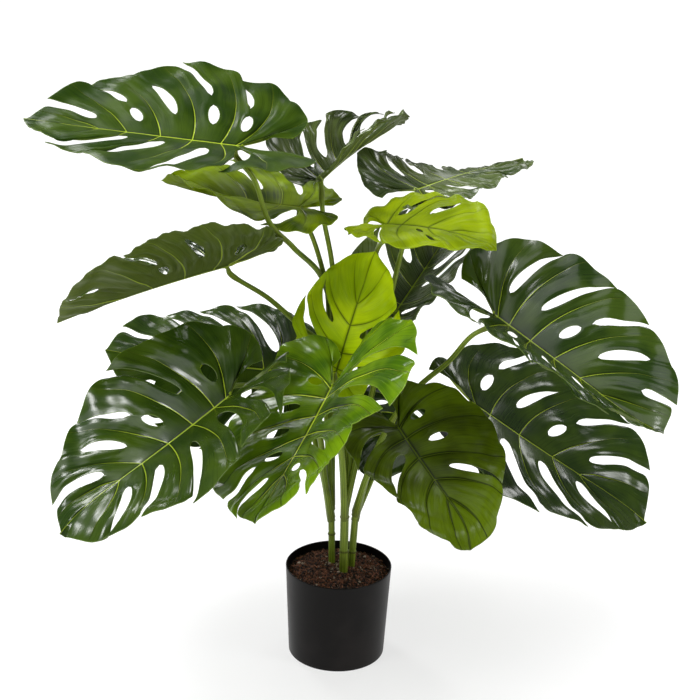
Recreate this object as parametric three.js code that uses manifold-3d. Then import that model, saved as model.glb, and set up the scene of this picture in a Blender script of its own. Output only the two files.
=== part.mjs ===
// A split-leaf philodendron in a plain round pot: fifteen cut leaf blades on long stalks,
// three canes that stand in plain holes in the soil, the soil, and the pot.
// Millimetres, +Z up. The origin is the centre of the pot's flat foot.
// +X is the viewer's right and -Y is the side that faces the viewer.

import * as THREE from 'three';
import Module from 'manifold-3d';

const wasm = await Module();
wasm.setup();

// Driving dimensions
const CLEARANCE = 0.3;
const POT = { height: 134, rimRadius: 75, footRadius: 68.5, wall: 2, floor: 3, lip: 1.2, sides: 40 };
const SOIL = { belowRim: 13, dome: 5, sides: 32, rings: 5, crumb: 1.2 };
const HOLE = { depth: 70, sides: 12 };
const CANE = { sides: 10, ringHeight: 3, ringOut: 1.2 };
const STALK = {
  sides: 6, rootRadius: 4.8, tipRadius: 3.3, step: 34, approach: 12, seatForward: 5, seatReach: 9,
};
const BLADE = {
  thickness: 1.2,
  rows: 6,            // from the midrib to the margin
  across: [0, 0.42, 1],  // the columns across one lobe
  veinDepth: 0.013,   // how deep a side vein lies under the lobe's two edges, part of the length
  lobeLift: 0.016,    // how far free lobe ends rise and sink against each other, part of the length
  seamBow: 0.12,      // how far a side seam bows towards the tip
  cornerRound: 0.1,   // how much of a free lobe's leading corner is rounded off
  roundFrom: 0.4,     // where on a seam that rounding sets in
  slitRounding: 2.2,  // how soon a slit reaches its full width after its inner end
  slitClosing: 0.5,   // the part of its width that a slit loses towards the margin
  holeRounding: 0.6,  // below 1 a hole is a rounded rectangle, at 1 a pointed oval
  freeFromRow: 2.5,   // lobes rise and sink against each other outside this row
};

// How far a lobe's margin bulges beyond its chord, as parts of the chord: near its leading end
// and near its trailing end, which stays a corner.
const BULGE = {
  notch: [0.34, 0.34],
  shoulder: [0.32, 0.16],
  freeTip: [0.34, 0],
  joinedTip: [0.2, 0],
  free: [0.44, 0.1],
  joined: [0.2, 0.1],
};
const BULGE_AT = { free: 0.12, joined: 0.33 };
const soilTop = POT.height - SOIL.belowRim;
const degree = Math.PI / 180;

const FINISH = {
  pot: { color: 0x1d1e20, roughness: 0.5, metalness: 0 },
  soil: { color: 0x3a251a, roughness: 0.95, metalness: 0 },
  stem: { color: 0x4d6b2a, roughness: 0.5, metalness: 0 },
  darkLeaf: { color: 0x24451f, roughness: 0.4, metalness: 0 },
  oliveLeaf: { color: 0x3d5a1c, roughness: 0.42, metalness: 0 },
  middleLeaf: { color: 0x2f6d1f, roughness: 0.42, metalness: 0 },
  youngLeaf: { color: 0x7fa32a, roughness: 0.45, metalness: 0 },
};

// Seams between the lobes of one half blade. A seam starts on the midrib at the given part of
// the blade's length, and the last value is where the end lobe leaves the midrib.
const SEAM_STARTS = {
  7: [0, 0.012, 0.03, 0.15, 0.29, 0.44, 0.6, 0.7],
  6: [0, 0.012, 0.03, 0.18, 0.36, 0.55, 0.66],
  5: [0, 0.015, 0.04, 0.27, 0.5, 0.62],
};

// How a seam is cut. Rows gives the part of the seam at each row of the mesh, and each opening
// runs from one row to another with the given half width, as a part of the blade's length.
const CUTS = {
  c: { rows: [0, 0.18, 0.34, 0.5, 0.66, 0.83, 1], openings: [] },
  h: { rows: [0, 0.2, 0.32, 0.44, 0.62, 0.8, 1], openings: [[1, 3, 0.027]] },
  b: { rows: [0, 0.18, 0.29, 0.4, 0.5, 0.75, 1], openings: [[1, 3, 0.026], [4, 6, 0.024]] },
  s: { rows: [0, 0.16, 0.3, 0.42, 0.54, 0.77, 1], openings: [[4, 6, 0.026]] },
  l: { rows: [0, 0.28, 0.42, 0.56, 0.7, 0.85, 1], openings: [[1, 6, 0.03]] },
  w: { rows: [0, 0.22, 0.36, 0.5, 0.66, 0.83, 1], openings: [[1, 6, 0.045]] },
  e: { rows: [0, 0.18, 0.3, 0.45, 0.6, 0.8, 1], openings: [[2, 5, 0.027]] },
};

// The leaves. Joint is where the stalk meets the blade. Heading, pitch and roll turn the blade
// from there, in degrees; roll lifts its left half. Bend and tipBend droop the midrib and
// sweep turns it sideways. In each half, fold is the angle at the midrib, from its base to
// foldTip at its end, curl the droop across the half, cuts the kind of each seam from the
// notch on, and tips the places where that half's seams meet the margin.
const LEAVES = [
  {
    name: 'leaf_top_left', finish: 'darkLeaf', lobes: 7, length: 280, joint: [-142, -30, 736],
    heading: 179, pitch: 5, roll: -14, bend: 2, tipBend: -2, sweep: -5,
    left: {
      fold: -20, foldTip: -12, curl: 10, cuts: 'ccwwwwc',
      tips: [
        [-0.25, 0.05], [-0.29, 0.38], [0.04, 0.53], [0.37, 0.68],
        [0.64, 0.4], [0.83, 0.3], [0.88, 0.18], [1, 0],
      ],
    },
    right: {
      fold: -16, foldTip: -14, curl: 16, cuts: 'ccbbebl',
      tips: [
        [-0.23, 0.1], [-0.19, 0.39], [0.08, 0.55], [0.36, 0.63],
        [0.56, 0.47], [0.76, 0.35], [0.92, 0.15], [1, 0],
      ],
    },
  },
  {
    name: 'leaf_top_middle', finish: 'darkLeaf', lobes: 6, length: 222, joint: [-43, 78, 670],
    heading: 67, pitch: 12, roll: 0, bend: 0, tipBend: 0, sweep: -14,
    left: {
      fold: -52, foldTip: -58, curl: -14, cuts: 'ccwwww',
      tips: [
        [-0.15, 0.04], [-0.16, 0.42], [0.19, 0.32], [0.4, 0.28],
        [0.76, 0.15], [0.95, 0.1], [1, 0],
      ],
    },
    right: {
      fold: -51, foldTip: -46, curl: -14, cuts: 'ccwwwc',
      tips: [
        [-0.15, 0.04], [-0.05, 0.15], [0.18, 0.38], [0.48, 0.35],
        [0.64, 0.3], [0.91, 0.16], [1, 0],
      ],
    },
  },
  {
    name: 'leaf_top_right', finish: 'darkLeaf', lobes: 6, length: 211, joint: [91, 125, 651],
    heading: 41, pitch: 9, roll: 6, bend: 7, tipBend: -3, sweep: -1,
    left: {
      fold: -19, foldTip: 37, curl: 4, cuts: 'cclwww',
      tips: [
        [-0.25, 0.05], [-0.24, 0.35], [0.16, 0.48], [0.38, 0.54],
        [0.7, 0.5], [0.91, 0.21], [1, 0],
      ],
    },
    right: {
      fold: -13, foldTip: -16, curl: 19, cuts: 'ccblsc',
      tips: [
        [-0.25, 0.05], [-0.22, 0.36], [0.07, 0.41], [0.26, 0.36],
        [0.58, 0.27], [0.91, 0.19], [1, 0],
      ],
    },
  },
  {
    name: 'leaf_young_right', finish: 'youngLeaf', lobes: 5, length: 165, joint: [46, 14, 629],
    heading: -26, pitch: 8, roll: 16, bend: 14, tipBend: 18, sweep: -14,
    left: {
      fold: -4, foldTip: -8, curl: 11, cuts: 'ccwec',
      tips: [
        [-0.22, 0.05], [-0.16, 0.37], [0.36, 0.51],
        [0.64, 0.48], [0.84, 0.26], [1, 0],
      ],
    },
    right: {
      fold: -23, foldTip: -11, curl: 28, cuts: 'cclbc',
      tips: [
        [-0.22, 0.05], [-0.17, 0.31], [0.19, 0.48],
        [0.68, 0.27], [0.9, 0.11], [1, 0],
      ],
    },
  },
  {
    name: 'leaf_young_left', finish: 'youngLeaf', lobes: 5, length: 200, joint: [-64, 70, 634],
    heading: 174, pitch: 2, roll: -16, bend: -6, tipBend: -9, sweep: -8,
    left: {
      fold: -26, foldTip: -56, curl: 46, cuts: 'ccwsc',
      tips: [
        [-0.22, 0.05], [-0.17, 0.3], [0.2, 0.58],
        [0.7, 0.46], [0.88, 0.25], [1, 0],
      ],
    },
    right: {
      fold: 0, foldTip: -9, curl: 24, cuts: 'ccllc',
      tips: [
        [-0.19, 0.1], [-0.17, 0.33], [0.26, 0.56],
        [0.61, 0.5], [0.87, 0.22], [1, 0],
      ],
    },
  },
  {
    name: 'leaf_side_left', finish: 'darkLeaf', lobes: 6, length: 240, joint: [-155, 0, 572],
    heading: 194, pitch: -14, roll: -14, bend: 4, tipBend: 0, sweep: 6,
    left: {
      fold: -52, foldTip: -66, curl: 2, cuts: 'cchebs',
      tips: [
        [-0.19, 0.04], [-0.23, 0.34], [-0.02, 0.6], [0.3, 0.6],
        [0.55, 0.48], [0.92, 0.2], [1, 0],
      ],
    },
    right: {
      fold: 4, foldTip: 2, curl: 13, cuts: 'ccbbsl',
      tips: [
        [-0.25, 0.05], [-0.22, 0.39], [0.18, 0.58], [0.48, 0.55],
        [0.72, 0.42], [0.91, 0.22], [1, 0],
      ],
    },
  },
  {
    name: 'leaf_low_left_back', finish: 'darkLeaf', lobes: 6, length: 250, joint: [-90, 90, 390],
    heading: 192, pitch: 7, roll: -30, bend: 0, tipBend: -3, sweep: -6,
    left: {
      fold: 0, foldTip: 0, curl: 30, cuts: 'cclbls',
      tips: [
        [-0.16, 0.05], [-0.08, 0.42], [0.18, 0.58], [0.48, 0.55],
        [0.72, 0.42], [0.91, 0.22], [1, 0],
      ],
    },
    right: {
      fold: -2, foldTip: 9, curl: 27, cuts: 'ccwllb',
      tips: [
        [-0.18, 0.05], [-0.07, 0.5], [0.22, 0.56], [0.44, 0.5],
        [0.68, 0.42], [0.9, 0.22], [1, 0],
      ],
    },
  },
  {
    name: 'leaf_low_left_front', finish: 'darkLeaf', lobes: 7, length: 285, joint: [-146, -130, 434],
    heading: 222, pitch: -25, roll: -15, bend: -14, tipBend: 28, sweep: 5,
    left: {
      fold: -42, foldTip: -13, curl: 14, cuts: 'cwwwlll',
      tips: [
        [-0.25, 0.04], [-0.21, 0.28], [0.1, 0.58], [0.3, 0.5],
        [0.6, 0.46], [0.76, 0.3], [0.91, 0.22], [1, 0],
      ],
    },
    right: {
      fold: -14, foldTip: -10, curl: 13, cuts: 'cchlbel',
      tips: [
        [-0.25, 0.04], [-0.24, 0.3], [0.03, 0.48], [0.3, 0.5],
        [0.58, 0.38], [0.76, 0.26], [0.93, 0.12], [1, 0],
      ],
    },
  },
  {
    name: 'leaf_young_upright', finish: 'youngLeaf', lobes: 5, length: 175, joint: [-12, 25, 415],
    heading: 34, pitch: 73, roll: 45, bend: 3, tipBend: 3, sweep: -3,
    left: {
      fold: 4, foldTip: 18, curl: 19, cuts: 'ccwlc',
      tips: [
        [-0.22, 0.05], [0.17, 0.4], [0.5, 0.44],
        [0.74, 0.35], [0.85, 0.26], [1, 0],
      ],
    },
    right: {
      fold: -10, foldTip: -18, curl: 14, cuts: 'ccwwc',
      tips: [
        [-0.22, 0.05], [0.02, 0.28], [0.28, 0.47],
        [0.62, 0.33], [0.76, 0.25], [1, 0],
      ],
    },
  },
  {
    name: 'leaf_front', finish: 'middleLeaf', lobes: 7, length: 255, joint: [-16, -60, 425],
    heading: 249, pitch: -26, roll: 20, bend: -9, tipBend: 7, sweep: 2,
    left: {
      fold: -31, foldTip: -23, curl: 35, cuts: 'ccwwheb',
      tips: [
        [-0.25, 0.05], [-0.26, 0.42], [0.07, 0.68], [0.4, 0.62],
        [0.5, 0.44], [0.7, 0.36], [0.88, 0.28], [1, 0],
      ],
    },
    right: {
      fold: -12, foldTip: 5, curl: 8, cuts: 'cchhhbl',
      tips: [
        [-0.25, 0.05], [-0.33, 0.34], [-0.05, 0.38], [0.36, 0.52],
        [0.6, 0.47], [0.8, 0.3], [0.91, 0.18], [1, 0],
      ],
    },
  },
  {
    name: 'leaf_low_right_front', finish: 'oliveLeaf', lobes: 6, length: 200, joint: [73, -60, 371],
    heading: -50, pitch: -34, roll: 0, bend: -10, tipBend: 60, sweep: -4,
    left: {
      fold: -22, foldTip: -26, curl: 10, cuts: 'cchhlc',
      tips: [
        [-0.25, 0.05], [-0.2, 0.34], [0.04, 0.54], [0.4, 0.55],
        [0.7, 0.38], [0.86, 0.22], [1, 0],
      ],
    },
    right: {
      fold: -10, foldTip: -12, curl: 19, cuts: 'ccwwcc',
      tips: [
        [-0.25, 0.05], [-0.21, 0.27], [0.24, 0.51], [0.53, 0.38],
        [0.72, 0.35], [0.9, 0.2], [1, 0],
      ],
    },
  },
  {
    name: 'leaf_side_right', finish: 'darkLeaf', lobes: 7, length: 275, joint: [197, -10, 516],
    heading: -33, pitch: -24, roll: 14, bend: 1, tipBend: -19, sweep: -2,
    left: {
      fold: -30, foldTip: -30, curl: 22, cuts: 'ccllbes',
      tips: [
        [-0.25, 0.05], [-0.24, 0.32], [0.04, 0.49], [0.36, 0.5],
        [0.6, 0.44], [0.82, 0.33], [0.98, 0.16], [1, 0],
      ],
    },
    right: {
      fold: -34, foldTip: -38, curl: -4, cuts: 'ccwblls',
      tips: [
        [-0.25, 0.05], [-0.2, 0.42], [0.1, 0.5], [0.42, 0.52],
        [0.66, 0.43], [0.8, 0.3], [0.94, 0.15], [1, 0],
      ],
    },
  },
  {
    name: 'leaf_low_right', finish: 'darkLeaf', lobes: 6, length: 305, joint: [183, 90, 352],
    heading: -11, pitch: -32, roll: 9, bend: -6, tipBend: 14, sweep: 0,
    left: {
      fold: -8, foldTip: -24, curl: -3, cuts: 'ccblbl',
      tips: [
        [-0.25, 0.05], [-0.18, 0.18], [0.19, 0.6], [0.42, 0.47],
        [0.73, 0.45], [0.9, 0.26], [1, 0],
      ],
    },
    right: {
      fold: -9, foldTip: -8, curl: 14, cuts: 'ccbwww',
      tips: [
        [-0.18, 0.05], [-0.1, 0.4], [0.18, 0.55], [0.48, 0.49],
        [0.71, 0.39], [0.88, 0.23], [1, 0],
      ],
    },
  },
  {
    name: 'leaf_back', finish: 'darkLeaf', lobes: 6, length: 224, joint: [66, 120, 468],
    heading: 58, pitch: 30, roll: -2, bend: 10, tipBend: 5, sweep: 9,
    left: {
      fold: -42, foldTip: -50, curl: -5, cuts: 'cclwws',
      tips: [
        [-0.25, 0.04], [-0.2, 0.27], [0.07, 0.37], [0.5, 0.4],
        [0.74, 0.32], [0.91, 0.19], [1, 0],
      ],
    },
    right: {
      fold: -34, foldTip: -30, curl: -5, cuts: 'cclwws',
      tips: [
        [-0.25, 0.04], [-0.16, 0.35], [0.02, 0.36], [0.54, 0.47],
        [0.72, 0.41], [0.87, 0.28], [1, 0],
      ],
    },
  },
  {
    name: 'leaf_inner', finish: 'darkLeaf', lobes: 5, length: 125, joint: [80, 40, 370],
    heading: -143, pitch: -71, roll: -55, bend: 12, tipBend: 3, sweep: -5,
    left: {
      fold: 0, foldTip: 0, curl: 20, cuts: 'cclsc',
      tips: [
        [-0.16, 0.05], [-0.08, 0.3], [0.25, 0.42],
        [0.6, 0.36], [0.88, 0.2], [1, 0],
      ],
    },
    right: {
      fold: 0, foldTip: 0, curl: 20, cuts: 'cclsc',
      tips: [
        [-0.2, 0.05], [-0.16, 0.28], [0.25, 0.42],
        [0.6, 0.36], [0.88, 0.2], [1, 0],
      ],
    },
  },
];

// The canes stand upright in the soil, with a ring at each node. Each stalk leaves its cane at
// a height, in mm above the pot's foot, and runs through the given points to its leaf.
const STEMS = [
  {
    name: 'stem_left', foot: [-10, 19], radius: 4.8, top: 232, lean: [-14, 24], rings: [171],
    stalks: [
      {
        leaf: 'leaf_top_left', from: 215,
        through: [
          [-15, 50, 330], [-17, 90, 455], [-34, 99, 522],
          [-74, 6, 596], [-104, -50, 646], [-122, -58, 700],
        ],
      },
      {
        leaf: 'leaf_young_left', from: 222,
        through: [[-21, 54, 350], [-27, 96, 496], [-33, 98, 528], [-54, 80, 598]],
      },
      {
        leaf: 'leaf_side_left', from: 208,
        through: [[-22, 40, 320], [-34, 86, 430], [-66, 86, 460], [-108, 56, 508]],
      },
      {
        leaf: 'leaf_low_left_back', from: 190,
        through: [[-28, 36, 262], [-54, 64, 335]],
      },
      {
        leaf: 'leaf_low_left_front', from: 196,
        through: [
          [-24, 18, 262], [-34, 16, 330], [-54, 14, 372],
          [-96, 10, 391], [-140, -20, 408], [-156, -80, 420],
        ],
      },
    ],
  },
  {
    name: 'stem_middle', foot: [7, -7], radius: 6.2, top: 236, lean: [6, -3], rings: [158, 210],
    stalks: [
      {
        leaf: 'leaf_top_middle', from: 214,
        through: [
          [2, 26, 330], [-10, 68, 450], [-16, 82, 500],
          [-24, 84, 560], [-37, 68, 628],
        ],
      },
      {
        leaf: 'leaf_top_right', from: 222,
        through: [
          [28, 16, 330], [46, 42, 425], [55, 52, 490],
          [69, 82, 557], [83, 122, 604],
        ],
      },
      {
        leaf: 'leaf_young_right', from: 218,
        through: [[14, 24, 330], [24, 64, 445], [32, 80, 537], [39, 62, 582]],
      },
      {
        leaf: 'leaf_front', from: 205,
        through: [[2, -22, 290], [-4, -38, 350]],
      },
      {
        leaf: 'leaf_young_upright', from: 226,
        through: [[0, 4, 290], [-8, 26, 350]],
      },
      {
        leaf: 'leaf_back', from: 222,
        through: [[12, 32, 280], [16, 64, 340], [40, 90, 400]],
      },
    ],
  },
  {
    name: 'stem_right', foot: [18, 9], radius: 5.2, top: 222, lean: [22, 10], rings: [150],
    stalks: [
      {
        leaf: 'leaf_side_right', from: 206,
        through: [
          [44, 4, 300], [72, 8, 362], [104, 14, 404],
          [140, 6, 442], [170, -2, 484],
        ],
      },
      {
        leaf: 'leaf_low_right', from: 198,
        through: [[32, 34, 240], [58, 64, 268], [110, 86, 300], [150, 92, 320]],
      },
      {
        leaf: 'leaf_low_right_front', from: 212,
        through: [[36, -14, 280], [56, -36, 325]],
      },
      {
        leaf: 'leaf_inner', from: 208,
        through: [[42, 36, 250], [66, 62, 310], [84, 62, 350]],
      },
    ],
  },
];

const material = (name) => new THREE.MeshStandardMaterial({ ...FINISH[name], name });
const clamp = THREE.MathUtils.clamp;
const lerp = THREE.MathUtils.lerp;

function geometryFrom(positions, triangles) {
  const geometry = new THREE.BufferGeometry();
  geometry.setAttribute('position', new THREE.Float32BufferAttribute(positions, 3));
  geometry.setIndex(triangles);
  geometry.computeVertexNormals();
  return geometry;
}

// Solids for joining and cutting, with corners that share a place merged into one.
function solidFrom(geometry) {
  const places = new Map();
  const vertices = [];
  const position = geometry.getAttribute('position');
  const merged = [];
  for (let i = 0; i < position.count; i++) {
    const corner = [position.getX(i), position.getY(i), position.getZ(i)];
    const key = corner.map((value) => Math.round(value * 1e4)).join(' ');
    if (!places.has(key)) {
      places.set(key, vertices.length / 3);
      vertices.push(...corner);
    }
    merged.push(places.get(key));
  }
  const index = geometry.index ? [...geometry.index.array] : merged.map((_, i) => i);
  const triangles = [];
  for (let i = 0; i < index.length; i += 3) {
    const [a, b, c] = [merged[index[i]], merged[index[i + 1]], merged[index[i + 2]]];
    if (a !== b && b !== c && c !== a) triangles.push(a, b, c);
  }
  const mesh = new wasm.Mesh({
    numProp: 3,
    vertProperties: new Float32Array(vertices),
    triVerts: new Uint32Array(triangles),
  });
  return new wasm.Manifold(mesh);
}

function geometryOf(solid) {
  const mesh = solid.getMesh();
  return geometryFrom([...mesh.vertProperties], [...mesh.triVerts]);
}

// Place on the flat half blade: the seam is a quadratic curve from the midrib to the margin.
function seamCurve(half, lobes, seam) {
  const start = new THREE.Vector2(SEAM_STARTS[lobes][seam], 0);
  const end = new THREE.Vector2(...half.tips[seam]);
  const chord = end.clone().sub(start);
  const bow = seam === 0 ? -BLADE.seamBow : BLADE.seamBow;
  const middle = start.clone().add(end).multiplyScalar(0.5);
  middle.add(new THREE.Vector2(-chord.y, chord.x).multiplyScalar(2 * bow));
  return new THREE.QuadraticBezierCurve(start, middle, end);
}

const cutOf = (half, seam) => CUTS[half.cuts[seam] ?? 'c'];

function opensAtMargin(cut) {
  const last = cut.openings.at(-1);
  return last !== undefined && last[1] === BLADE.rows;
}

function isOpen(cut, row) {
  return cut.openings.some(([from, to]) => row > from && (row < to || to === BLADE.rows));
}

function halfWidth(cut, row) {
  let width = 0;
  for (const [from, to, widest] of cut.openings) {
    if (row <= from || row > to || (row === to && to !== BLADE.rows)) continue;
    const along = (row - from) / (to - from);
    const rounding = Math.sqrt(1 - (1 - Math.min(1, BLADE.slitRounding * along)) ** 2);
    width += to === BLADE.rows
      ? widest * rounding * (1 - BLADE.slitClosing * along)
      : widest * Math.sin(Math.PI * along) ** BLADE.holeRounding;
  }
  return width;
}

// One side of a lobe, moved off its seam by the cut. Side is 1 for the lobe's edge towards the
// tip and -1 for its leading edge, whose free corner is rounded.
function lobeEdge(half, lobes, seam, row, side) {
  if (seam === lobes) {
    const start = SEAM_STARTS[lobes][lobes];
    return new THREE.Vector2(lerp(start, 1, CUTS.c.rows[row]), 0);
  }
  const cut = seam === 0 ? CUTS.c : cutOf(half, seam);
  const curve = seamCurve(half, lobes, seam);
  let along = cut.rows[row];
  if (side < 0 && opensAtMargin(cut)) {
    const outer = clamp((along - BLADE.roundFrom) / (1 - BLADE.roundFrom), 0, 1);
    along *= 1 - BLADE.cornerRound * outer ** 1.5;
  }
  const width = seam === 0 ? 0 : halfWidth(cut, row);
  const point = curve.getPoint(along);
  const direction = curve.getTangent(along);
  const towardsTip = new THREE.Vector2(direction.y, -direction.x);
  const closing = side > 0 ? clamp((BLADE.rows - row) / 1.5, 0, 1) : 1 + 0.3 * clamp(row - 5, 0, 1);
  return point.addScaledVector(towardsTip, -side * width * closing);
}

function lobeMargin(half, lobes, lobe, from, to) {
  const chord = to.clone().sub(from);
  const outward = new THREE.Vector2(-chord.y, chord.x);
  const free = lobe > 0 && opensAtMargin(cutOf(half, lobe));
  let kind = free ? 'free' : 'joined';
  const nearAt = BULGE_AT[kind];
  if (lobe === 0) kind = 'notch';
  else if (lobe === 1) kind = 'shoulder';
  else if (lobe === lobes - 1) kind = free ? 'freeTip' : 'joinedTip';
  const [near, far] = BULGE[kind];
  const first = from.clone().addScaledVector(chord, nearAt).addScaledVector(outward, near);
  const second = to.clone().addScaledVector(chord, -BULGE_AT.joined).addScaledVector(outward, far);
  return new THREE.CubicBezierCurve(from, first, second, to);
}

// A point of one lobe: across runs from its leading edge to the edge towards the tip, and row
// from the midrib to the margin. The four edges of the lobe are blended over its inside.
function lobePoint(half, lobes, lobe, across, row) {
  const rows = BLADE.rows;
  const leading = lobeEdge(half, lobes, lobe, row, -1);
  const following = lobeEdge(half, lobes, lobe + 1, row, 1);
  const leadingEnd = lobeEdge(half, lobes, lobe, rows, -1);
  const followingEnd = lobeEdge(half, lobes, lobe + 1, rows, 1);
  const rootStart = SEAM_STARTS[lobes][lobe];
  const rootEnd = SEAM_STARTS[lobes][lobe + 1];
  const root = new THREE.Vector2(lerp(rootStart, rootEnd, across), 0);
  const margin = lobeMargin(half, lobes, lobe, leadingEnd, followingEnd).getPoint(across);
  const outLeading = (lobe === 0 ? CUTS.c : cutOf(half, lobe)).rows[row];
  const outFollowing = (lobe === lobes - 1 ? CUTS.c : cutOf(half, lobe + 1)).rows[row];
  const out = lerp(outLeading, outFollowing, across);
  const point = new THREE.Vector2();
  point.addScaledVector(leading, 1 - across).addScaledVector(following, across);
  point.addScaledVector(root, 1 - out).addScaledVector(margin, out);
  point.x -= (1 - out) * lerp(rootStart, rootEnd, across);
  point.addScaledVector(leadingEnd, -(1 - across) * out).addScaledVector(followingEnd, -across * out);
  return point;
}

// Lobes rise and sink against each other where they are free, by a wave along the margin.
function lobeLift(leaf, lobe) {
  return BLADE.lobeLift * Math.sin(2.4 * lobe + leaf.length / 7);
}

function relief(leaf, half, lobe, across, row) {
  const last = leaf.lobes - 1;
  const free = clamp((row - BLADE.freeFromRow) / (BLADE.rows - BLADE.freeFromRow), 0, 1) ** 2;
  const own = lobeLift(leaf, lobe);
  const edgeLift = (seam, neighbour) => {
    if (seam === 0 || seam > last) return own;
    return opensAtMargin(cutOf(half, seam)) ? own : (own + lobeLift(leaf, neighbour)) / 2;
  };
  const lift = lerp(edgeLift(lobe, lobe - 1), edgeLift(lobe + 1, lobe + 1), across);
  const outward = Math.sin(Math.PI * clamp(row / BLADE.rows, 0, 1) ** 0.8);
  const trough = Math.sin(Math.PI * across) ** 2;
  return lift * free - BLADE.veinDepth * outward * trough;
}

// The midrib's own curve in its upright plane, by small steps from the joint both ways.
function midribCurve(leaf) {
  const steps = 160;
  const [low, high] = [-0.5, 1.15];
  const step = (high - low) / steps;
  const slope = (u) => degree * (leaf.bend * u + leaf.tipBend * clamp((u - 0.6) / 0.4, 0, 2) ** 2);
  const table = [{ u: low, x: 0, z: 0 }];
  for (let i = 1; i <= steps; i++) {
    const before = table[i - 1];
    const middle = slope(low + (i - 0.5) * step);
    table.push({
      u: low + i * step,
      x: before.x + Math.cos(middle) * step,
      z: before.z - Math.sin(middle) * step,
    });
  }
  const read = (u) => {
    const place = clamp((u - low) / step, 0, steps - 1e-6);
    const i = Math.floor(place);
    const part = place - i;
    return { x: lerp(table[i].x, table[i + 1].x, part), z: lerp(table[i].z, table[i + 1].z, part) };
  };
  const zero = read(0);
  return (u) => {
    const { x, z } = read(u);
    return { x: x - zero.x, z: z - zero.z, slope: slope(u) };
  };
}

function bladeTurn(leaf) {
  const [heading, pitch, roll] = [leaf.heading, leaf.pitch, leaf.roll].map((angle) => angle * degree);
  const forward = new THREE.Vector3(
    Math.cos(pitch) * Math.cos(heading), Math.cos(pitch) * Math.sin(heading), Math.sin(pitch));
  const level = new THREE.Vector3(-Math.sin(heading), Math.cos(heading), 0);
  const square = forward.clone().cross(level);
  const left = level.clone().multiplyScalar(Math.cos(roll)).addScaledVector(square, Math.sin(roll));
  const up = level.clone().multiplyScalar(-Math.sin(roll)).addScaledVector(square, Math.cos(roll));
  return { forward, left, up };
}

// Bends a point of the flat half blade to its place in the plant.
function bladePlacer(leaf) {
  const midrib = midribCurve(leaf);
  const { forward, left, up } = bladeTurn(leaf);
  return (flat, side, height) => {
    const half = side > 0 ? leaf.left : leaf.right;
    const { x, z, slope } = midrib(flat.x);
    const fold = degree * lerp(half.fold, half.foldTip, clamp(flat.x, -0.3, 1));
    const curl = degree * (half.curl || 0.01);
    const droop = fold + curl * flat.y;
    const lateral = (Math.sin(droop) - Math.sin(fold)) / curl + height * Math.sin(droop);
    const lift = (Math.cos(droop) - Math.cos(fold)) / curl + height * Math.cos(droop);
    const along = x + lift * Math.sin(slope);
    const across = side * lateral + degree * leaf.sweep * flat.x * Math.abs(flat.x) / 2;
    const above = z + lift * Math.cos(slope);
    return new THREE.Vector3(...leaf.joint)
      .addScaledVector(forward, along * leaf.length)
      .addScaledVector(left, across * leaf.length)
      .addScaledVector(up, above * leaf.length);
  };
}

// The blade's middle surface as one net of squares. Lobes share their points along the midrib
// and wherever the seam between them is closed.
function bladeNet(leaf) {
  const place = bladePlacer(leaf);
  const points = [];
  const squares = [];
  const shared = new Map();
  const last = leaf.lobes - 1;
  const columns = BLADE.across.length - 1;
  for (const side of [1, -1]) {
    const half = side > 0 ? leaf.left : leaf.right;
    for (let lobe = 0; lobe <= last; lobe++) {
      const pointAt = (column, row) => {
        const across = BLADE.across[column];
        const flat = lobePoint(half, leaf.lobes, lobe, across, row);
        const atTip = lobe === last && column === columns;
        const joined = (seam) => seam > 0 && !isOpen(cutOf(half, seam), row);
        let key = `${side} ${lobe} ${column} ${row}`;
        if (row === 0 || atTip) key = `midrib ${flat.x.toFixed(5)}`;
        else if (column === 0 && joined(lobe)) key = `${side} seam ${lobe} ${row}`;
        else if (column === columns && joined(lobe + 1)) key = `${side} seam ${lobe + 1} ${row}`;
        if (!shared.has(key)) {
          const height = atTip ? 0 : relief(leaf, half, lobe, across, row);
          shared.set(key, points.length);
          points.push(place(flat, side, height));
        }
        return shared.get(key);
      };
      for (let column = 0; column < columns; column++) {
        for (let row = 0; row < BLADE.rows; row++) {
          const square = [
            pointAt(column, row), pointAt(column + 1, row),
            pointAt(column + 1, row + 1), pointAt(column, row + 1),
          ];
          squares.push(side > 0 ? square : square.reverse());
        }
      }
    }
  }
  return { points, squares };
}

// Thickens a net of squares into a closed body: the same triangles on both faces, and a wall
// along every free edge. Upper and lower give each face's shift from the square's normal.
function thickened({ points, squares }, upper, lower) {
  const triangles = [];
  for (const [a, b, c, d] of squares) {
    if (a !== b && b !== c && c !== a) triangles.push([a, b, c]);
    if (a !== c && c !== d && d !== a) triangles.push([a, c, d]);
  }
  const normals = points.map(() => new THREE.Vector3());
  for (const [a, b, c] of triangles) {
    const edge = points[b].clone().sub(points[a]);
    const normal = edge.cross(points[c].clone().sub(points[a]));
    for (const corner of [a, b, c]) normals[corner].add(normal);
  }
  const positions = [];
  for (const shift of [upper, lower]) {
    points.forEach((point, i) => {
      positions.push(...point.clone().add(shift(normals[i].clone().normalize())).toArray());
    });
  }
  const count = points.length;
  const free = new Map();
  for (const triangle of triangles) {
    triangle.forEach((from, i) => {
      const to = triangle[(i + 1) % 3];
      if (free.has(`${to} ${from}`)) free.delete(`${to} ${from}`);
      else free.set(`${from} ${to}`, [from, to]);
    });
  }
  const faces = triangles.flatMap(([a, b, c]) => [a, b, c, c + count, b + count, a + count]);
  for (const [from, to] of free.values()) {
    faces.push(from, from + count, to + count, from, to + count, to);
  }
  return geometryFrom(positions, faces);
}

function bladeGeometry(leaf) {
  const half = BLADE.thickness / 2;
  const upper = (normal) => normal.multiplyScalar(half);
  const lower = (normal) => normal.multiplyScalar(-half);
  return thickened(bladeNet(leaf), upper, lower);
}

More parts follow.
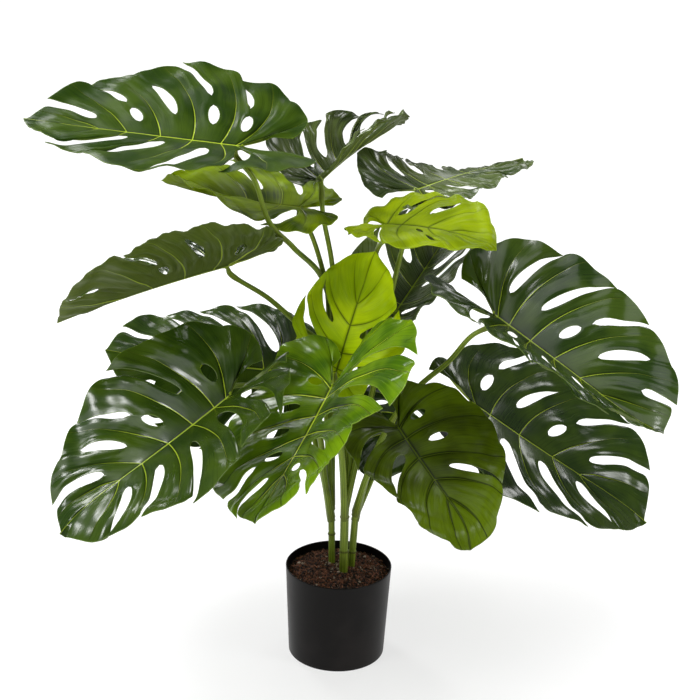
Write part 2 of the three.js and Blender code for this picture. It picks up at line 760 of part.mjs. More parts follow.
// The body that trims a stalk to its blade: the blade round the joint, lowered by the
// clearance and raised high on its upper side.
function seatCutter(leaf) {
  const net = bladeNet(leaf);
  const joint = new THREE.Vector3(...leaf.joint);
  const near = (corner) => net.points[corner].distanceTo(joint) < STALK.seatReach;
  const squares = net.squares.filter((square) => square.some(near));
  const used = [...new Set(squares.flat())];
  const renumbered = new Map(used.map((corner, i) => [corner, i]));
  const { up } = bladeTurn(leaf);
  return solidFrom(thickened(
    {
      points: used.map((corner) => net.points[corner]),
      squares: squares.map((square) => square.map((corner) => renumbered.get(corner))),
    },
    () => up.clone().multiplyScalar(STALK.seatReach),
    (normal) => normal.multiplyScalar(-BLADE.thickness / 2 - CLEARANCE),
  ));
}

// A round stalk along a curve, with a radius for each place and flat ends.
function taperedRod(curve, steps, sides, radiusAt) {
  const frames = curve.computeFrenetFrames(steps, false);
  const positions = [];
  for (let i = 0; i <= steps; i++) {
    const centre = curve.getPointAt(i / steps);
    const radius = radiusAt(i / steps);
    for (let side = 0; side < sides; side++) {
      const angle = (2 * Math.PI * side) / sides;
      const point = centre.clone()
        .addScaledVector(frames.normals[i], radius * Math.cos(angle))
        .addScaledVector(frames.binormals[i], radius * Math.sin(angle));
      positions.push(...point.toArray());
    }
  }
  const faces = [];
  for (let i = 0; i < steps; i++) {
    for (let side = 0; side < sides; side++) {
      const next = (side + 1) % sides;
      const [a, b] = [i * sides + side, i * sides + next];
      const [c, d] = [b + sides, a + sides];
      faces.push(a, b, c, a, c, d);
    }
  }
  const end = steps * sides;
  for (let side = 1; side < sides - 1; side++) {
    faces.push(0, side + 1, side);
    faces.push(end, end + side, end + side + 1);
  }
  return geometryFrom(positions, faces);
}

// The stalk's last points: it turns square to the blade's underside and ends just under the
// midrib, a little forward of the notch.
function stalkEnd(leaf) {
  const { forward, up } = bladeTurn(leaf);
  const seat = new THREE.Vector3(...leaf.joint).addScaledVector(forward, STALK.seatForward);
  const under = BLADE.thickness / 2 + CLEARANCE;
  return [under + STALK.approach, under].map((drop) => seat.clone().addScaledVector(up, -drop));
}

function stemGeometry(stem) {
  const foot = new THREE.Vector3(...stem.foot, soilTop - HOLE.depth + CLEARANCE);
  const knee = new THREE.Vector3(...stem.foot, soilTop + SOIL.dome);
  const crown = new THREE.Vector3(...stem.lean, stem.top);
  const middle = foot.clone().lerp(knee, 0.5);
  const cane = new THREE.CatmullRomCurve3([foot, middle, knee, crown], false, 'centripetal');
  let solid = solidFrom(taperedRod(cane, 12, CANE.sides, (along) => stem.radius * (1.04 - 0.1 * along)));
  const heightOn = (height) => {
    let [low, high] = [0, 1];
    for (let i = 0; i < 30; i++) {
      const middle = (low + high) / 2;
      if (cane.getPointAt(middle).z < height) low = middle;
      else high = middle;
    }
    return cane.getPointAt(low);
  };
  for (const height of stem.rings) {
    const out = stem.radius + CANE.ringOut;
    const profile = [
      [0, -CANE.ringHeight], [stem.radius * 0.9, -CANE.ringHeight], [out, -CANE.ringHeight / 3],
      [out, CANE.ringHeight / 3], [stem.radius * 0.9, CANE.ringHeight], [0, CANE.ringHeight],
    ].map((corner) => new THREE.Vector2(...corner));
    const ring = new THREE.LatheGeometry(profile, CANE.sides);
    ring.rotateX(Math.PI / 2);
    ring.translate(...heightOn(height).toArray());
    solid = solid.add(solidFrom(ring));
  }
  for (const stalk of stem.stalks) {
    const leaf = LEAVES.find((candidate) => candidate.name === stalk.leaf);
    const start = heightOn(stalk.from);
    const points = [start, ...stalk.through.map((point) => new THREE.Vector3(...point)), ...stalkEnd(leaf)];
    const path = new THREE.CatmullRomCurve3(points, false, 'centripetal');
    const steps = Math.max(10, Math.round(path.getLength() / STALK.step));
    const radiusAt = (along) => lerp(STALK.rootRadius, STALK.tipRadius, Math.min(1, along * 1.15));
    const rod = solidFrom(taperedRod(path, steps, STALK.sides, radiusAt));
    solid = solid.add(rod.subtract(seatCutter(leaf)));
  }
  return geometryOf(solid);
}

function potGeometry() {
  const innerFoot = POT.footRadius - POT.wall;
  const innerRim = POT.rimRadius - POT.wall;
  const profile = [
    [0, 0], [POT.footRadius - POT.lip, 0], [POT.footRadius, POT.lip],
    [POT.rimRadius, POT.height - POT.lip], [POT.rimRadius - POT.lip / 2, POT.height],
    [innerRim + POT.lip / 4, POT.height], [innerRim, POT.height - POT.lip],
    [innerFoot, POT.floor], [0, POT.floor],
  ].map((corner) => new THREE.Vector2(...corner));
  const geometry = new THREE.LatheGeometry(profile, POT.sides);
  geometry.rotateX(Math.PI / 2);
  return geometryOf(solidFrom(geometry));
}

// Soil fills the pot up to a low dome, which is a little uneven.
function soilGeometry() {
  const innerRadius = (height) => lerp(POT.footRadius, POT.rimRadius, height / POT.height)
    - POT.wall - CLEARANCE * 2;
  const bottom = POT.floor + CLEARANCE;
  const profile = [[0, bottom], [innerRadius(bottom), bottom]];
  for (let ring = SOIL.rings; ring >= 0; ring--) {
    const out = ring / SOIL.rings;
    profile.push([innerRadius(soilTop) * out, soilTop + SOIL.dome * (1 - out * out)]);
  }
  const geometry = new THREE.LatheGeometry(profile.map((corner) => new THREE.Vector2(...corner)), SOIL.sides);
  geometry.rotateX(Math.PI / 2);
  const position = geometry.getAttribute('position');
  for (let i = 0; i < position.count; i++) {
    const [x, y, z] = [position.getX(i), position.getY(i), position.getZ(i)];
    const inside = 1 - Math.hypot(x, y) / innerRadius(soilTop);
    if (z < soilTop || inside < 0.05) continue;
    position.setZ(i, z + SOIL.crumb * Math.sin(x / 5) * Math.cos(y / 6));
  }
  let solid = solidFrom(geometry);
  for (const stem of STEMS) {
    const radius = stem.radius * 1.04 / Math.cos(Math.PI / HOLE.sides) + CLEARANCE;
    const hole = new THREE.CylinderGeometry(radius, radius, HOLE.depth * 2, HOLE.sides);
    hole.rotateX(Math.PI / 2);
    hole.translate(...stem.foot, soilTop);
    solid = solid.subtract(solidFrom(hole));
  }
  return geometryOf(solid);
}

const plant = new THREE.Group();
plant.name = 'potted_philodendron';

function addPiece(name, geometry, finish) {
  const mesh = new THREE.Mesh(geometry, material(finish));
  mesh.name = name;
  plant.add(mesh);
}

addPiece('pot', potGeometry(), 'pot');
addPiece('soil', soilGeometry(), 'soil');
for (const stem of STEMS) addPiece(stem.name, stemGeometry(stem), 'stem');
for (const leaf of LEAVES) addPiece(leaf.name, bladeGeometry(leaf), leaf.finish);

export default plant;
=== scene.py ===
"""A split-leaf philodendron in a plain round pot: cut leaves, long stalks, canes, soil and pot.

Metres, +Z up, the origin at the centre of the pot's foot, -Y towards the viewer. The leaves,
stems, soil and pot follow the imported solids, and each piece made here stands for one of them.
"""

import logging
import math
from dataclasses import dataclass, replace
from enum import Enum

import bpy
import numpy as np
from mathutils import Matrix, Vector

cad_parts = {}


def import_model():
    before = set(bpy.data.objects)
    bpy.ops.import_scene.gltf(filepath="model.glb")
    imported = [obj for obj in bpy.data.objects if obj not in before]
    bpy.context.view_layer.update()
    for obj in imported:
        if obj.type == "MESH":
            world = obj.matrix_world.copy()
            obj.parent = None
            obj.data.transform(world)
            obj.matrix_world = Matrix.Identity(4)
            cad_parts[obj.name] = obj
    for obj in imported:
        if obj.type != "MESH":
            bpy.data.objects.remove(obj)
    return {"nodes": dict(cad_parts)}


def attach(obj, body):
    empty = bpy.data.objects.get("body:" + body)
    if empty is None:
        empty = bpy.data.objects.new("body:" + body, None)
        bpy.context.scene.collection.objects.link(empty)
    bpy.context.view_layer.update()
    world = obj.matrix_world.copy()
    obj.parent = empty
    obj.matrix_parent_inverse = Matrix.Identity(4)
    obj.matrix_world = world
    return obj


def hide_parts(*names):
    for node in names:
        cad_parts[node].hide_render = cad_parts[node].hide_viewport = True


logging.basicConfig(level=logging.INFO, format="%(message)s")
LOG = logging.getLogger("plant")
Array = np.ndarray
Pair = tuple[float, float]
Triple = tuple[float, float, float]
Faces = list[tuple[int, ...]]
Part = tuple[Array, Faces, Array]
Socket = bpy.types.NodeSocket
# The low and the high value that a fade reads, then what it gives there if not 0 and 1.
Fade = tuple[float, ...]
BODY = "root"
TURN = 2 * math.pi
TINY = 1e-6
BLADE_ROWS = 6
# The rows of a blade's net from the midrib, 0, to the margin, 6, and its columns across a lobe.
# They crowd beside the midrib and beside the lobe's own vein.
ROWS = np.concatenate([(0, 0.035, 0.08, 0.14, 0.22, 0.34, 0.5, 0.66, 0.83), np.arange(6, 37) / 6])
COLUMNS = np.array((
    0, 0.05, 0.1, 0.16, 0.22, 0.28, 0.34, 0.39, 0.43, 0.46, 0.48, 0.492, 0.5,
    0.508, 0.52, 0.54, 0.57, 0.61, 0.66, 0.72, 0.78, 0.84, 0.9, 0.95, 1))
VEIN_COLUMN = len(COLUMNS) // 2
# Where the seams between lobes leave the midrib, as parts of the blade's length, by the number
# of lobes. The last value is where the end lobe leaves it.
SEAM_STARTS = {
    7: (0, 0.012, 0.03, 0.15, 0.29, 0.44, 0.6, 0.7),
    6: (0, 0.012, 0.03, 0.18, 0.36, 0.55, 0.66),
    5: (0, 0.015, 0.04, 0.27, 0.5, 0.62),
}
# How far a lobe's margin bulges beyond its chord, near its leading and its trailing corner.
BULGES = {
    "notch": (0.34, 0.34), "shoulder": (0.32, 0.16), "free_tip": (0.34, 0),
    "joined_tip": (0.2, 0), "free": (0.44, 0.1), "joined": (0.2, 0.1),
}
# The blade's waves, each by its radians along and across it: two pairs that swell it, a coarse
# and a fine one, and the last one along its edge.
WAVES = ((13, 5), (-4, 9), (24, -11), (0, 19), (31, 17))
# Parts the streaks of the two halves of a blade, in lobes.
HALF_LANES = 20
# The unevenness of the soil's top: a strength, and one or two waves that are multiplied, each by
# its radians per metre across and in depth and by its start.
SOIL_WAVES = (
    (1, (420, 0, 1.3), (0, 390, 0.4)),
    (0.7, (910, 300, 0), (-250, 870, 0)),
    (0.5, (1700, -1500, 0)),
)


class SeamCut(Enum):
    """How the seam between two lobes is cut."""

    CLOSED = "c"
    HOLE = "h"
    HOLE_AND_SLIT = "b"
    SLIT = "s"
    LONG_SLIT = "l"
    WIDE_SLIT = "w"
    EYE = "e"


class LeafTone(Enum):
    """Which of the four leaf greens a leaf has."""

    DARK = "leaf_dark"
    OLIVE = "leaf_olive"
    MIDDLE = "leaf_middle"
    YOUNG = "leaf_young"


@dataclass(frozen=True)
class SeamShape:
    """The run of a seam over the rows of the blade, and its openings (from row, to row, half width)."""

    run: tuple[float, ...]
    openings: tuple[tuple[int, int, float], ...] = ()
    slit_rounding: float = 2.6
    slit_closing: float = 0.5
    hole_rounding: float = 0.48

    def out(self) -> Array:
        """Gives the part of the seam's length that each row reaches."""
        return np.interp(ROWS, np.arange(BLADE_ROWS + 1), self.run)

    def at_margin(self) -> bool:
        """Says whether the seam is open where it meets the margin."""
        return bool(self.openings) and self.openings[-1][1] == BLADE_ROWS

    def last_start(self) -> int:
        """Gives the row where the outermost opening starts, 0 where there is none."""
        return self.openings[-1][0] if self.openings else 0

    def parted(self) -> Array:
        """Finds the rows where the two lobes beside the seam are parted.

        Returns:
            For each row, whether it lies inside an opening.
        """
        parted = np.zeros(len(ROWS), bool)
        for start, end, _ in self.openings:
            parted |= (ROWS > start + TINY) & ((ROWS < end - TINY) | (end == BLADE_ROWS))
        return parted

    def half_width(self) -> Array:
        """Gives half the width of the openings, as a part of the blade's length.

        Returns:
            The half width at each row, zero where the seam is closed.
        """
        width = np.zeros_like(ROWS)
        for start, end, widest in self.openings:
            along = np.clip((ROWS - start) / (end - start), 0, 1)
            if end == BLADE_ROWS:
                rounding = np.sqrt(1 - (1 - np.minimum(1, self.slit_rounding * along)) ** 2)
                width += widest * rounding * (1 - self.slit_closing * along)
            else:
                width += widest * np.sin(np.pi * along).clip(0) ** self.hole_rounding
        return width


SEAMS = {
    SeamCut.CLOSED: SeamShape((0, 0.18, 0.34, 0.5, 0.66, 0.83, 1)),
    SeamCut.HOLE: SeamShape((0, 0.2, 0.32, 0.44, 0.62, 0.8, 1), ((1, 3, 0.027),)),
    SeamCut.HOLE_AND_SLIT: SeamShape(
        (0, 0.18, 0.29, 0.4, 0.5, 0.75, 1), ((1, 3, 0.026), (4, 6, 0.024))),
    SeamCut.SLIT: SeamShape((0, 0.16, 0.3, 0.42, 0.54, 0.77, 1), ((4, 6, 0.026),)),
    SeamCut.LONG_SLIT: SeamShape((0, 0.28, 0.42, 0.56, 0.7, 0.85, 1), ((1, 6, 0.03),)),
    SeamCut.WIDE_SLIT: SeamShape((0, 0.22, 0.36, 0.5, 0.66, 0.83, 1), ((1, 6, 0.045),)),
    SeamCut.EYE: SeamShape((0, 0.18, 0.3, 0.45, 0.6, 0.8, 1), ((2, 5, 0.027),)),
}


@dataclass(frozen=True)
class LeafHalf:
    """One half of a blade: its folds at the joint and the tip and its droop (degrees), the cut of each
    seam from the notch on, and where each seam meets the margin (parts of the blade's length)."""

    fold: float
    fold_tip: float
    curl: float
    cuts: str
    ends: tuple[Pair, ...]

    def seam(self, number: int) -> SeamShape:
        """Gives the shape of one seam. The one that would follow the last, at the tip, is closed."""
        return SEAMS[SeamCut(self.cuts[number])] if number < len(self.cuts) else SEAMS[SeamCut.CLOSED]


@dataclass(frozen=True)
class LeafSpec:
    """One leaf: its place, how it is turned and bent (degrees), and its two halves."""

    name: str
    tone: LeafTone
    length: float
    joint: Triple
    heading: float
    pitch: float
    roll: float
    bend: float
    tip_bend: float
    sweep: float
    left: LeafHalf
    right: LeafHalf

    @property
    def lobes(self) -> int:
        """Counts the lobes of each half."""
        return len(self.left.cuts)

    def axes(self) -> tuple[Array, Array, Array]:
        """Gives the blade's own axes.

        Returns:
            Unit vectors towards the tip, to the left half and out of the upper face.
        """
        heading, pitch, roll = (math.radians(v) for v in (self.heading, self.pitch, self.roll))
        level = np.array([-math.sin(heading), math.cos(heading), 0.0])
        forward = np.array([math.cos(pitch) * level[1], -math.cos(pitch) * level[0], math.sin(pitch)])
        square = np.cross(forward, level)
        left = level * math.cos(roll) + square * math.sin(roll)
        return forward, left, square * math.cos(roll) - level * math.sin(roll)


@dataclass(frozen=True)
class StalkSpec:
    """One leaf stalk: its leaf, the height where it leaves the cane, and its route."""

    leaf: str
    start: float
    through: tuple[Triple, ...]


@dataclass(frozen=True)
class StemSpec:
    """One cane with its ring nodes and stalks."""

    name: str
    foot: Pair
    radius: float
    top: float
    lean: Pair
    rings: tuple[float, ...]
    stalks: tuple[StalkSpec, ...]


LEAVES = (
    LeafSpec(
        "leaf_top_left", LeafTone.DARK, length=0.28, joint=(-0.142, -0.03, 0.736),
        heading=179, pitch=5, roll=-14, bend=2, tip_bend=-2, sweep=-5,
        left=LeafHalf(-20, -12, 10, "ccwwwwc", (
            (-0.25, 0.05), (-0.29, 0.38), (0.04, 0.53), (0.37, 0.68), (0.64, 0.4), (0.83, 0.3),
            (0.88, 0.18))),
        right=LeafHalf(-16, -14, 16, "ccbbebl", (
            (-0.23, 0.1), (-0.19, 0.39), (0.08, 0.55), (0.36, 0.63), (0.56, 0.47), (0.76, 0.35),
            (0.92, 0.15)))),
    LeafSpec(
        "leaf_top_middle", LeafTone.DARK, length=0.222, joint=(-0.043, 0.078, 0.67),
        heading=67, pitch=12, roll=0, bend=0, tip_bend=0, sweep=-14,
        left=LeafHalf(-52, -58, -14, "ccwwww", (
            (-0.15, 0.04), (-0.16, 0.42), (0.19, 0.32), (0.4, 0.28), (0.76, 0.15), (0.95, 0.1))),
        right=LeafHalf(-51, -46, -14, "ccwwwc", (
            (-0.15, 0.04), (-0.05, 0.15), (0.18, 0.38), (0.48, 0.35), (0.64, 0.3), (0.91, 0.16)))),
    LeafSpec(
        "leaf_top_right", LeafTone.DARK, length=0.211, joint=(0.091, 0.125, 0.651),
        heading=41, pitch=9, roll=6, bend=7, tip_bend=-3, sweep=-1,
        left=LeafHalf(-19, 37, 4, "cclwww", (
            (-0.25, 0.05), (-0.24, 0.35), (0.16, 0.48), (0.38, 0.54), (0.7, 0.5), (0.91, 0.21))),
        right=LeafHalf(-13, -16, 19, "ccblsc", (
            (-0.25, 0.05), (-0.22, 0.36), (0.07, 0.41), (0.26, 0.36), (0.58, 0.27), (0.91, 0.19)))),
    LeafSpec(
        "leaf_young_right", LeafTone.YOUNG, length=0.165, joint=(0.046, 0.014, 0.629),
        heading=-26, pitch=8, roll=16, bend=14, tip_bend=18, sweep=-14,
        left=LeafHalf(-4, -8, 11, "ccwec", (
            (-0.22, 0.05), (-0.16, 0.37), (0.36, 0.51), (0.64, 0.48), (0.84, 0.26))),
        right=LeafHalf(-23, -11, 28, "cclbc", (
            (-0.22, 0.05), (-0.17, 0.31), (0.19, 0.48), (0.68, 0.27), (0.9, 0.11)))),
    LeafSpec(
        "leaf_young_left", LeafTone.YOUNG, length=0.2, joint=(-0.064, 0.07, 0.634),
        heading=174, pitch=2, roll=-16, bend=-6, tip_bend=-9, sweep=-8,
        left=LeafHalf(-26, -56, 46, "ccwsc", (
            (-0.22, 0.05), (-0.17, 0.3), (0.2, 0.58), (0.7, 0.46), (0.88, 0.25))),
        right=LeafHalf(0, -9, 24, "ccllc", (
            (-0.19, 0.1), (-0.17, 0.33), (0.26, 0.56), (0.61, 0.5), (0.87, 0.22)))),
    LeafSpec(
        "leaf_side_left", LeafTone.DARK, length=0.24, joint=(-0.155, 0, 0.572),
        heading=194, pitch=-14, roll=-14, bend=4, tip_bend=0, sweep=6,
        left=LeafHalf(-52, -66, 2, "cchebs", (
            (-0.19, 0.04), (-0.23, 0.34), (-0.02, 0.6), (0.3, 0.6), (0.55, 0.48), (0.92, 0.2))),
        right=LeafHalf(4, 2, 13, "ccbbsl", (
            (-0.25, 0.05), (-0.22, 0.39), (0.18, 0.58), (0.48, 0.55), (0.72, 0.42), (0.91, 0.22)))),
    LeafSpec(
        "leaf_low_left_back", LeafTone.DARK, length=0.25, joint=(-0.09, 0.09, 0.39),
        heading=192, pitch=7, roll=-30, bend=0, tip_bend=-3, sweep=-6,
        left=LeafHalf(0, 0, 30, "cclbls", (
            (-0.16, 0.05), (-0.08, 0.42), (0.18, 0.58), (0.48, 0.55), (0.72, 0.42), (0.91, 0.22))),
        right=LeafHalf(-2, 9, 27, "ccwllb", (
            (-0.18, 0.05), (-0.07, 0.5), (0.22, 0.56), (0.44, 0.5), (0.68, 0.42), (0.9, 0.22)))),
    LeafSpec(
        "leaf_low_left_front", LeafTone.DARK, length=0.285, joint=(-0.146, -0.13, 0.434),
        heading=222, pitch=-25, roll=-15, bend=-14, tip_bend=28, sweep=5,
        left=LeafHalf(-42, -13, 14, "cwwwlll", (
            (-0.25, 0.04), (-0.21, 0.28), (0.1, 0.58), (0.3, 0.5), (0.6, 0.46), (0.76, 0.3),
            (0.91, 0.22))),
        right=LeafHalf(-14, -10, 13, "cchlbel", (
            (-0.25, 0.04), (-0.24, 0.3), (0.03, 0.48), (0.3, 0.5), (0.58, 0.38), (0.76, 0.26),
            (0.93, 0.12)))),
    LeafSpec(
        "leaf_young_upright", LeafTone.YOUNG, length=0.175, joint=(-0.012, 0.025, 0.415),
        heading=34, pitch=73, roll=45, bend=3, tip_bend=3, sweep=-3,
        left=LeafHalf(4, 18, 19, "ccwlc", (
            (-0.22, 0.05), (0.17, 0.4), (0.5, 0.44), (0.74, 0.35), (0.85, 0.26))),
        right=LeafHalf(-10, -18, 14, "ccwwc", (
            (-0.22, 0.05), (0.02, 0.28), (0.28, 0.47), (0.62, 0.33), (0.76, 0.25)))),
    LeafSpec(
        "leaf_front", LeafTone.MIDDLE, length=0.255, joint=(-0.016, -0.06, 0.425),
        heading=249, pitch=-26, roll=20, bend=-9, tip_bend=7, sweep=2,
        left=LeafHalf(-31, -23, 35, "ccwwheb", (
            (-0.25, 0.05), (-0.26, 0.42), (0.07, 0.68), (0.4, 0.62), (0.5, 0.44), (0.7, 0.36),
            (0.88, 0.28))),
        right=LeafHalf(-12, 5, 8, "cchhhbl", (
            (-0.25, 0.05), (-0.33, 0.34), (-0.05, 0.38), (0.36, 0.52), (0.6, 0.47), (0.8, 0.3),
            (0.91, 0.18)))),
    LeafSpec(
        "leaf_low_right_front", LeafTone.OLIVE, length=0.2, joint=(0.073, -0.06, 0.371),
        heading=-50, pitch=-34, roll=0, bend=-10, tip_bend=60, sweep=-4,
        left=LeafHalf(-22, -26, 10, "cchhlc", (
            (-0.25, 0.05), (-0.2, 0.34), (0.04, 0.54), (0.4, 0.55), (0.7, 0.38), (0.86, 0.22))),
        right=LeafHalf(-10, -12, 19, "ccwwcc", (
            (-0.25, 0.05), (-0.21, 0.27), (0.24, 0.51), (0.53, 0.38), (0.72, 0.35), (0.9, 0.2)))),
    LeafSpec(
        "leaf_side_right", LeafTone.DARK, length=0.275, joint=(0.197, -0.01, 0.516),
        heading=-33, pitch=-24, roll=14, bend=1, tip_bend=-19, sweep=-2,
        left=LeafHalf(-30, -30, 22, "ccllbes", (
            (-0.25, 0.05), (-0.24, 0.32), (0.04, 0.49), (0.36, 0.5), (0.6, 0.44), (0.82, 0.33),
            (0.98, 0.16))),
        right=LeafHalf(-34, -38, -4, "ccwblls", (
            (-0.25, 0.05), (-0.2, 0.42), (0.1, 0.5), (0.42, 0.52), (0.66, 0.43), (0.8, 0.3),
            (0.94, 0.15)))),
    LeafSpec(
        "leaf_low_right", LeafTone.DARK, length=0.305, joint=(0.183, 0.09, 0.352),
        heading=-11, pitch=-32, roll=9, bend=-6, tip_bend=14, sweep=0,
        left=LeafHalf(-8, -24, -3, "ccblbl", (
            (-0.25, 0.05), (-0.18, 0.18), (0.19, 0.6), (0.42, 0.47), (0.73, 0.45), (0.9, 0.26))),
        right=LeafHalf(-9, -8, 14, "ccbwww", (
            (-0.18, 0.05), (-0.1, 0.4), (0.18, 0.55), (0.48, 0.49), (0.71, 0.39), (0.88, 0.23)))),
    LeafSpec(
        "leaf_back", LeafTone.DARK, length=0.224, joint=(0.066, 0.12, 0.468),
        heading=58, pitch=30, roll=-2, bend=10, tip_bend=5, sweep=9,
        left=LeafHalf(-42, -50, -5, "cclwws", (
            (-0.25, 0.04), (-0.2, 0.27), (0.07, 0.37), (0.5, 0.4), (0.74, 0.32), (0.91, 0.19))),
        right=LeafHalf(-34, -30, -5, "cclwws", (
            (-0.25, 0.04), (-0.16, 0.35), (0.02, 0.36), (0.54, 0.47), (0.72, 0.41), (0.87, 0.28)))),
    LeafSpec(
        "leaf_inner", LeafTone.DARK, length=0.125, joint=(0.08, 0.04, 0.37),
        heading=-143, pitch=-71, roll=-55, bend=12, tip_bend=3, sweep=-5,
        left=LeafHalf(0, 0, 20, "cclsc", (
            (-0.16, 0.05), (-0.08, 0.3), (0.25, 0.42), (0.6, 0.36), (0.88, 0.2))),
        right=LeafHalf(0, 0, 20, "cclsc", (
            (-0.2, 0.05), (-0.16, 0.28), (0.25, 0.42), (0.6, 0.36), (0.88, 0.2)))),
)
STEMS = (
    StemSpec(
        "stem_left", foot=(-0.01, 0.019), radius=0.0048, top=0.232,
        lean=(-0.014, 0.024), rings=(0.171,), stalks=(
            StalkSpec("leaf_top_left", 0.215, (
                (-0.015, 0.05, 0.33), (-0.017, 0.09, 0.455), (-0.034, 0.099, 0.522),
                (-0.074, 0.006, 0.596), (-0.104, -0.05, 0.646), (-0.122, -0.058, 0.7))),
            StalkSpec("leaf_young_left", 0.222, (
                (-0.021, 0.054, 0.35), (-0.027, 0.096, 0.496), (-0.033, 0.098, 0.528),
                (-0.054, 0.08, 0.598))),
            StalkSpec("leaf_side_left", 0.208, (
                (-0.022, 0.04, 0.32), (-0.034, 0.086, 0.43), (-0.066, 0.086, 0.46),
                (-0.108, 0.056, 0.508))),
            StalkSpec("leaf_low_left_back", 0.19, (
                (-0.028, 0.036, 0.262), (-0.054, 0.064, 0.335))),
            StalkSpec("leaf_low_left_front", 0.196, (
                (-0.024, 0.018, 0.262), (-0.034, 0.016, 0.33), (-0.054, 0.014, 0.372),
                (-0.096, 0.01, 0.391), (-0.14, -0.02, 0.408), (-0.156, -0.08, 0.42))))),
    StemSpec(
        "stem_middle", foot=(0.007, -0.007), radius=0.0062, top=0.236,
        lean=(0.006, -0.003), rings=(0.158, 0.21), stalks=(
            StalkSpec("leaf_top_middle", 0.214, (
                (0.002, 0.026, 0.33), (-0.01, 0.068, 0.45), (-0.016, 0.082, 0.5), (-0.024, 0.084, 0.56),
                (-0.037, 0.068, 0.628))),
            StalkSpec("leaf_top_right", 0.222, (
                (0.028, 0.016, 0.33), (0.046, 0.042, 0.425), (0.055, 0.052, 0.49), (0.069, 0.082, 0.557),
                (0.083, 0.122, 0.604))),
            StalkSpec("leaf_young_right", 0.218, (
                (0.014, 0.024, 0.33), (0.024, 0.064, 0.445), (0.032, 0.08, 0.537), (0.039, 0.062, 0.582))),
            StalkSpec("leaf_front", 0.205, (
                (0.002, -0.022, 0.29), (-0.004, -0.038, 0.35))),
            StalkSpec("leaf_young_upright", 0.226, (
                (0, 0.004, 0.29), (-0.008, 0.026, 0.35))),
            StalkSpec("leaf_back", 0.222, (
                (0.012, 0.032, 0.28), (0.016, 0.064, 0.34), (0.04, 0.09, 0.4))))),
    StemSpec(
        "stem_right", foot=(0.018, 0.009), radius=0.0052, top=0.222,
        lean=(0.022, 0.01), rings=(0.15,), stalks=(
            StalkSpec("leaf_side_right", 0.206, (
                (0.044, 0.004, 0.3), (0.072, 0.008, 0.362), (0.104, 0.014, 0.404), (0.14, 0.006, 0.442),
                (0.17, -0.002, 0.484))),
            StalkSpec("leaf_low_right", 0.198, (
                (0.032, 0.034, 0.24), (0.058, 0.064, 0.268), (0.11, 0.086, 0.3), (0.15, 0.092, 0.32))),
            StalkSpec("leaf_low_right_front", 0.212, (
                (0.036, -0.014, 0.28), (0.056, -0.036, 0.325))),
            StalkSpec("leaf_inner", 0.208, (
                (0.042, 0.036, 0.25), (0.066, 0.062, 0.31), (0.084, 0.062, 0.35))))),
)


def smooth(value: Array, low: float, high: float) -> Array:
    """Rises smoothly from 0 at low to 1 at high."""
    part = np.clip((value - low) / (high - low), 0, 1)
    return part * part * (3 - 2 * part)


def ridge(gap: Array, height: float | Array, width: float | Array) -> Array:
    """Gives a rounded ridge, as high as given where the gap is 0 and gone beyond two widths."""
    return height * np.exp(-(gap / width) ** 2)


def circle(sides: int) -> Array:
    """Gives the unit vectors towards corners spread evenly round a circle, one row each."""
    angles = np.linspace(0, TURN, sides, endpoint=False)
    return np.stack([np.cos(angles), np.sin(angles)], axis=1)


def arc(centre: Pair, radius: float, start: float, end: float, count: int) -> list[Pair]:
    """Gives the points of an arc in a section, between two angles in degrees."""
    angles = np.radians(np.linspace(start, end, count))
    return list(zip(centre[0] + radius * np.cos(angles), centre[1] + radius * np.sin(angles)))


def bands(rings: int, sides: int, first: int = 0) -> Faces:
    """Joins rings of corners, each lying over the one before, into squares that face outward.

    Args:
        rings: How many rings there are.
        sides: The corners in a ring.
        first: The number of the first corner.

    Returns:
        The squares.
    """
    faces = []
    for low in range(first, first + (rings - 1) * sides, sides):
        for k in range(sides):
            n = (k + 1) % sides
            faces.append((low + k, low + n, low + sides + n, low + sides + k))
    return faces


def fuse(parts: list[Part]) -> Part:
    """Puts parts into one mesh.

    Args:
        parts: The points, the faces and the corner values of each.

    Returns:
        The same of all of them.
    """
    faces: Faces = []
    first = 0
    for points, part_faces, _ in parts:
        faces += [tuple(first + i for i in face) for face in part_faces]
        first += len(points)
    return np.concatenate([part[0] for part in parts]), faces, np.concatenate([part[2] for part in parts])


def mesh_object(name: str, points: Array, faces: Faces, sharp_deg: float = 180,
                **attributes: Array) -> bpy.types.Object:
    """Makes a smooth-shaded mesh object and links it to the scene.

    Args:
        name: The object's name.
        points: The corners, one row each.
        faces: The faces' corner numbers.
        sharp_deg: Edges bent by more than this stay sharp.
        attributes: What the material reads by name: a number or three for each corner.

    Returns:
        The new object.
    """
    mesh = bpy.data.meshes.new(name)
    mesh.from_pydata([tuple(p) for p in np.asarray(points, float)], [], faces)
    mesh.validate()
    mesh.polygons.foreach_set("use_smooth", [True] * len(mesh.polygons))
    if sharp_deg < 180:
        mesh.set_sharp_from_angle(angle=math.radians(sharp_deg))
    mesh.update()
    for key, values in attributes.items():
        kind, slot = ("FLOAT_VECTOR", "vector") if values.ndim == 2 else ("FLOAT", "value")
        attribute = mesh.attributes.new(key, kind, "POINT")
        attribute.data.foreach_set(slot, values.astype(np.float32).ravel())
    piece = bpy.data.objects.new(name, mesh)
    bpy.context.collection.objects.link(piece)
    return piece


def seat(piece: bpy.types.Object, node: str, material: bpy.types.Material) -> None:
    """Gives a piece its material and lets it stand for its node on the plant's body.

    Args:
        piece: The finished piece.
        node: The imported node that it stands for.
        material: The finish.
    """
    piece.data.materials.append(material)
    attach(piece, BODY)
    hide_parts(node)
    LOG.info("%s: %d faces", piece.name, len(piece.data.polygons))


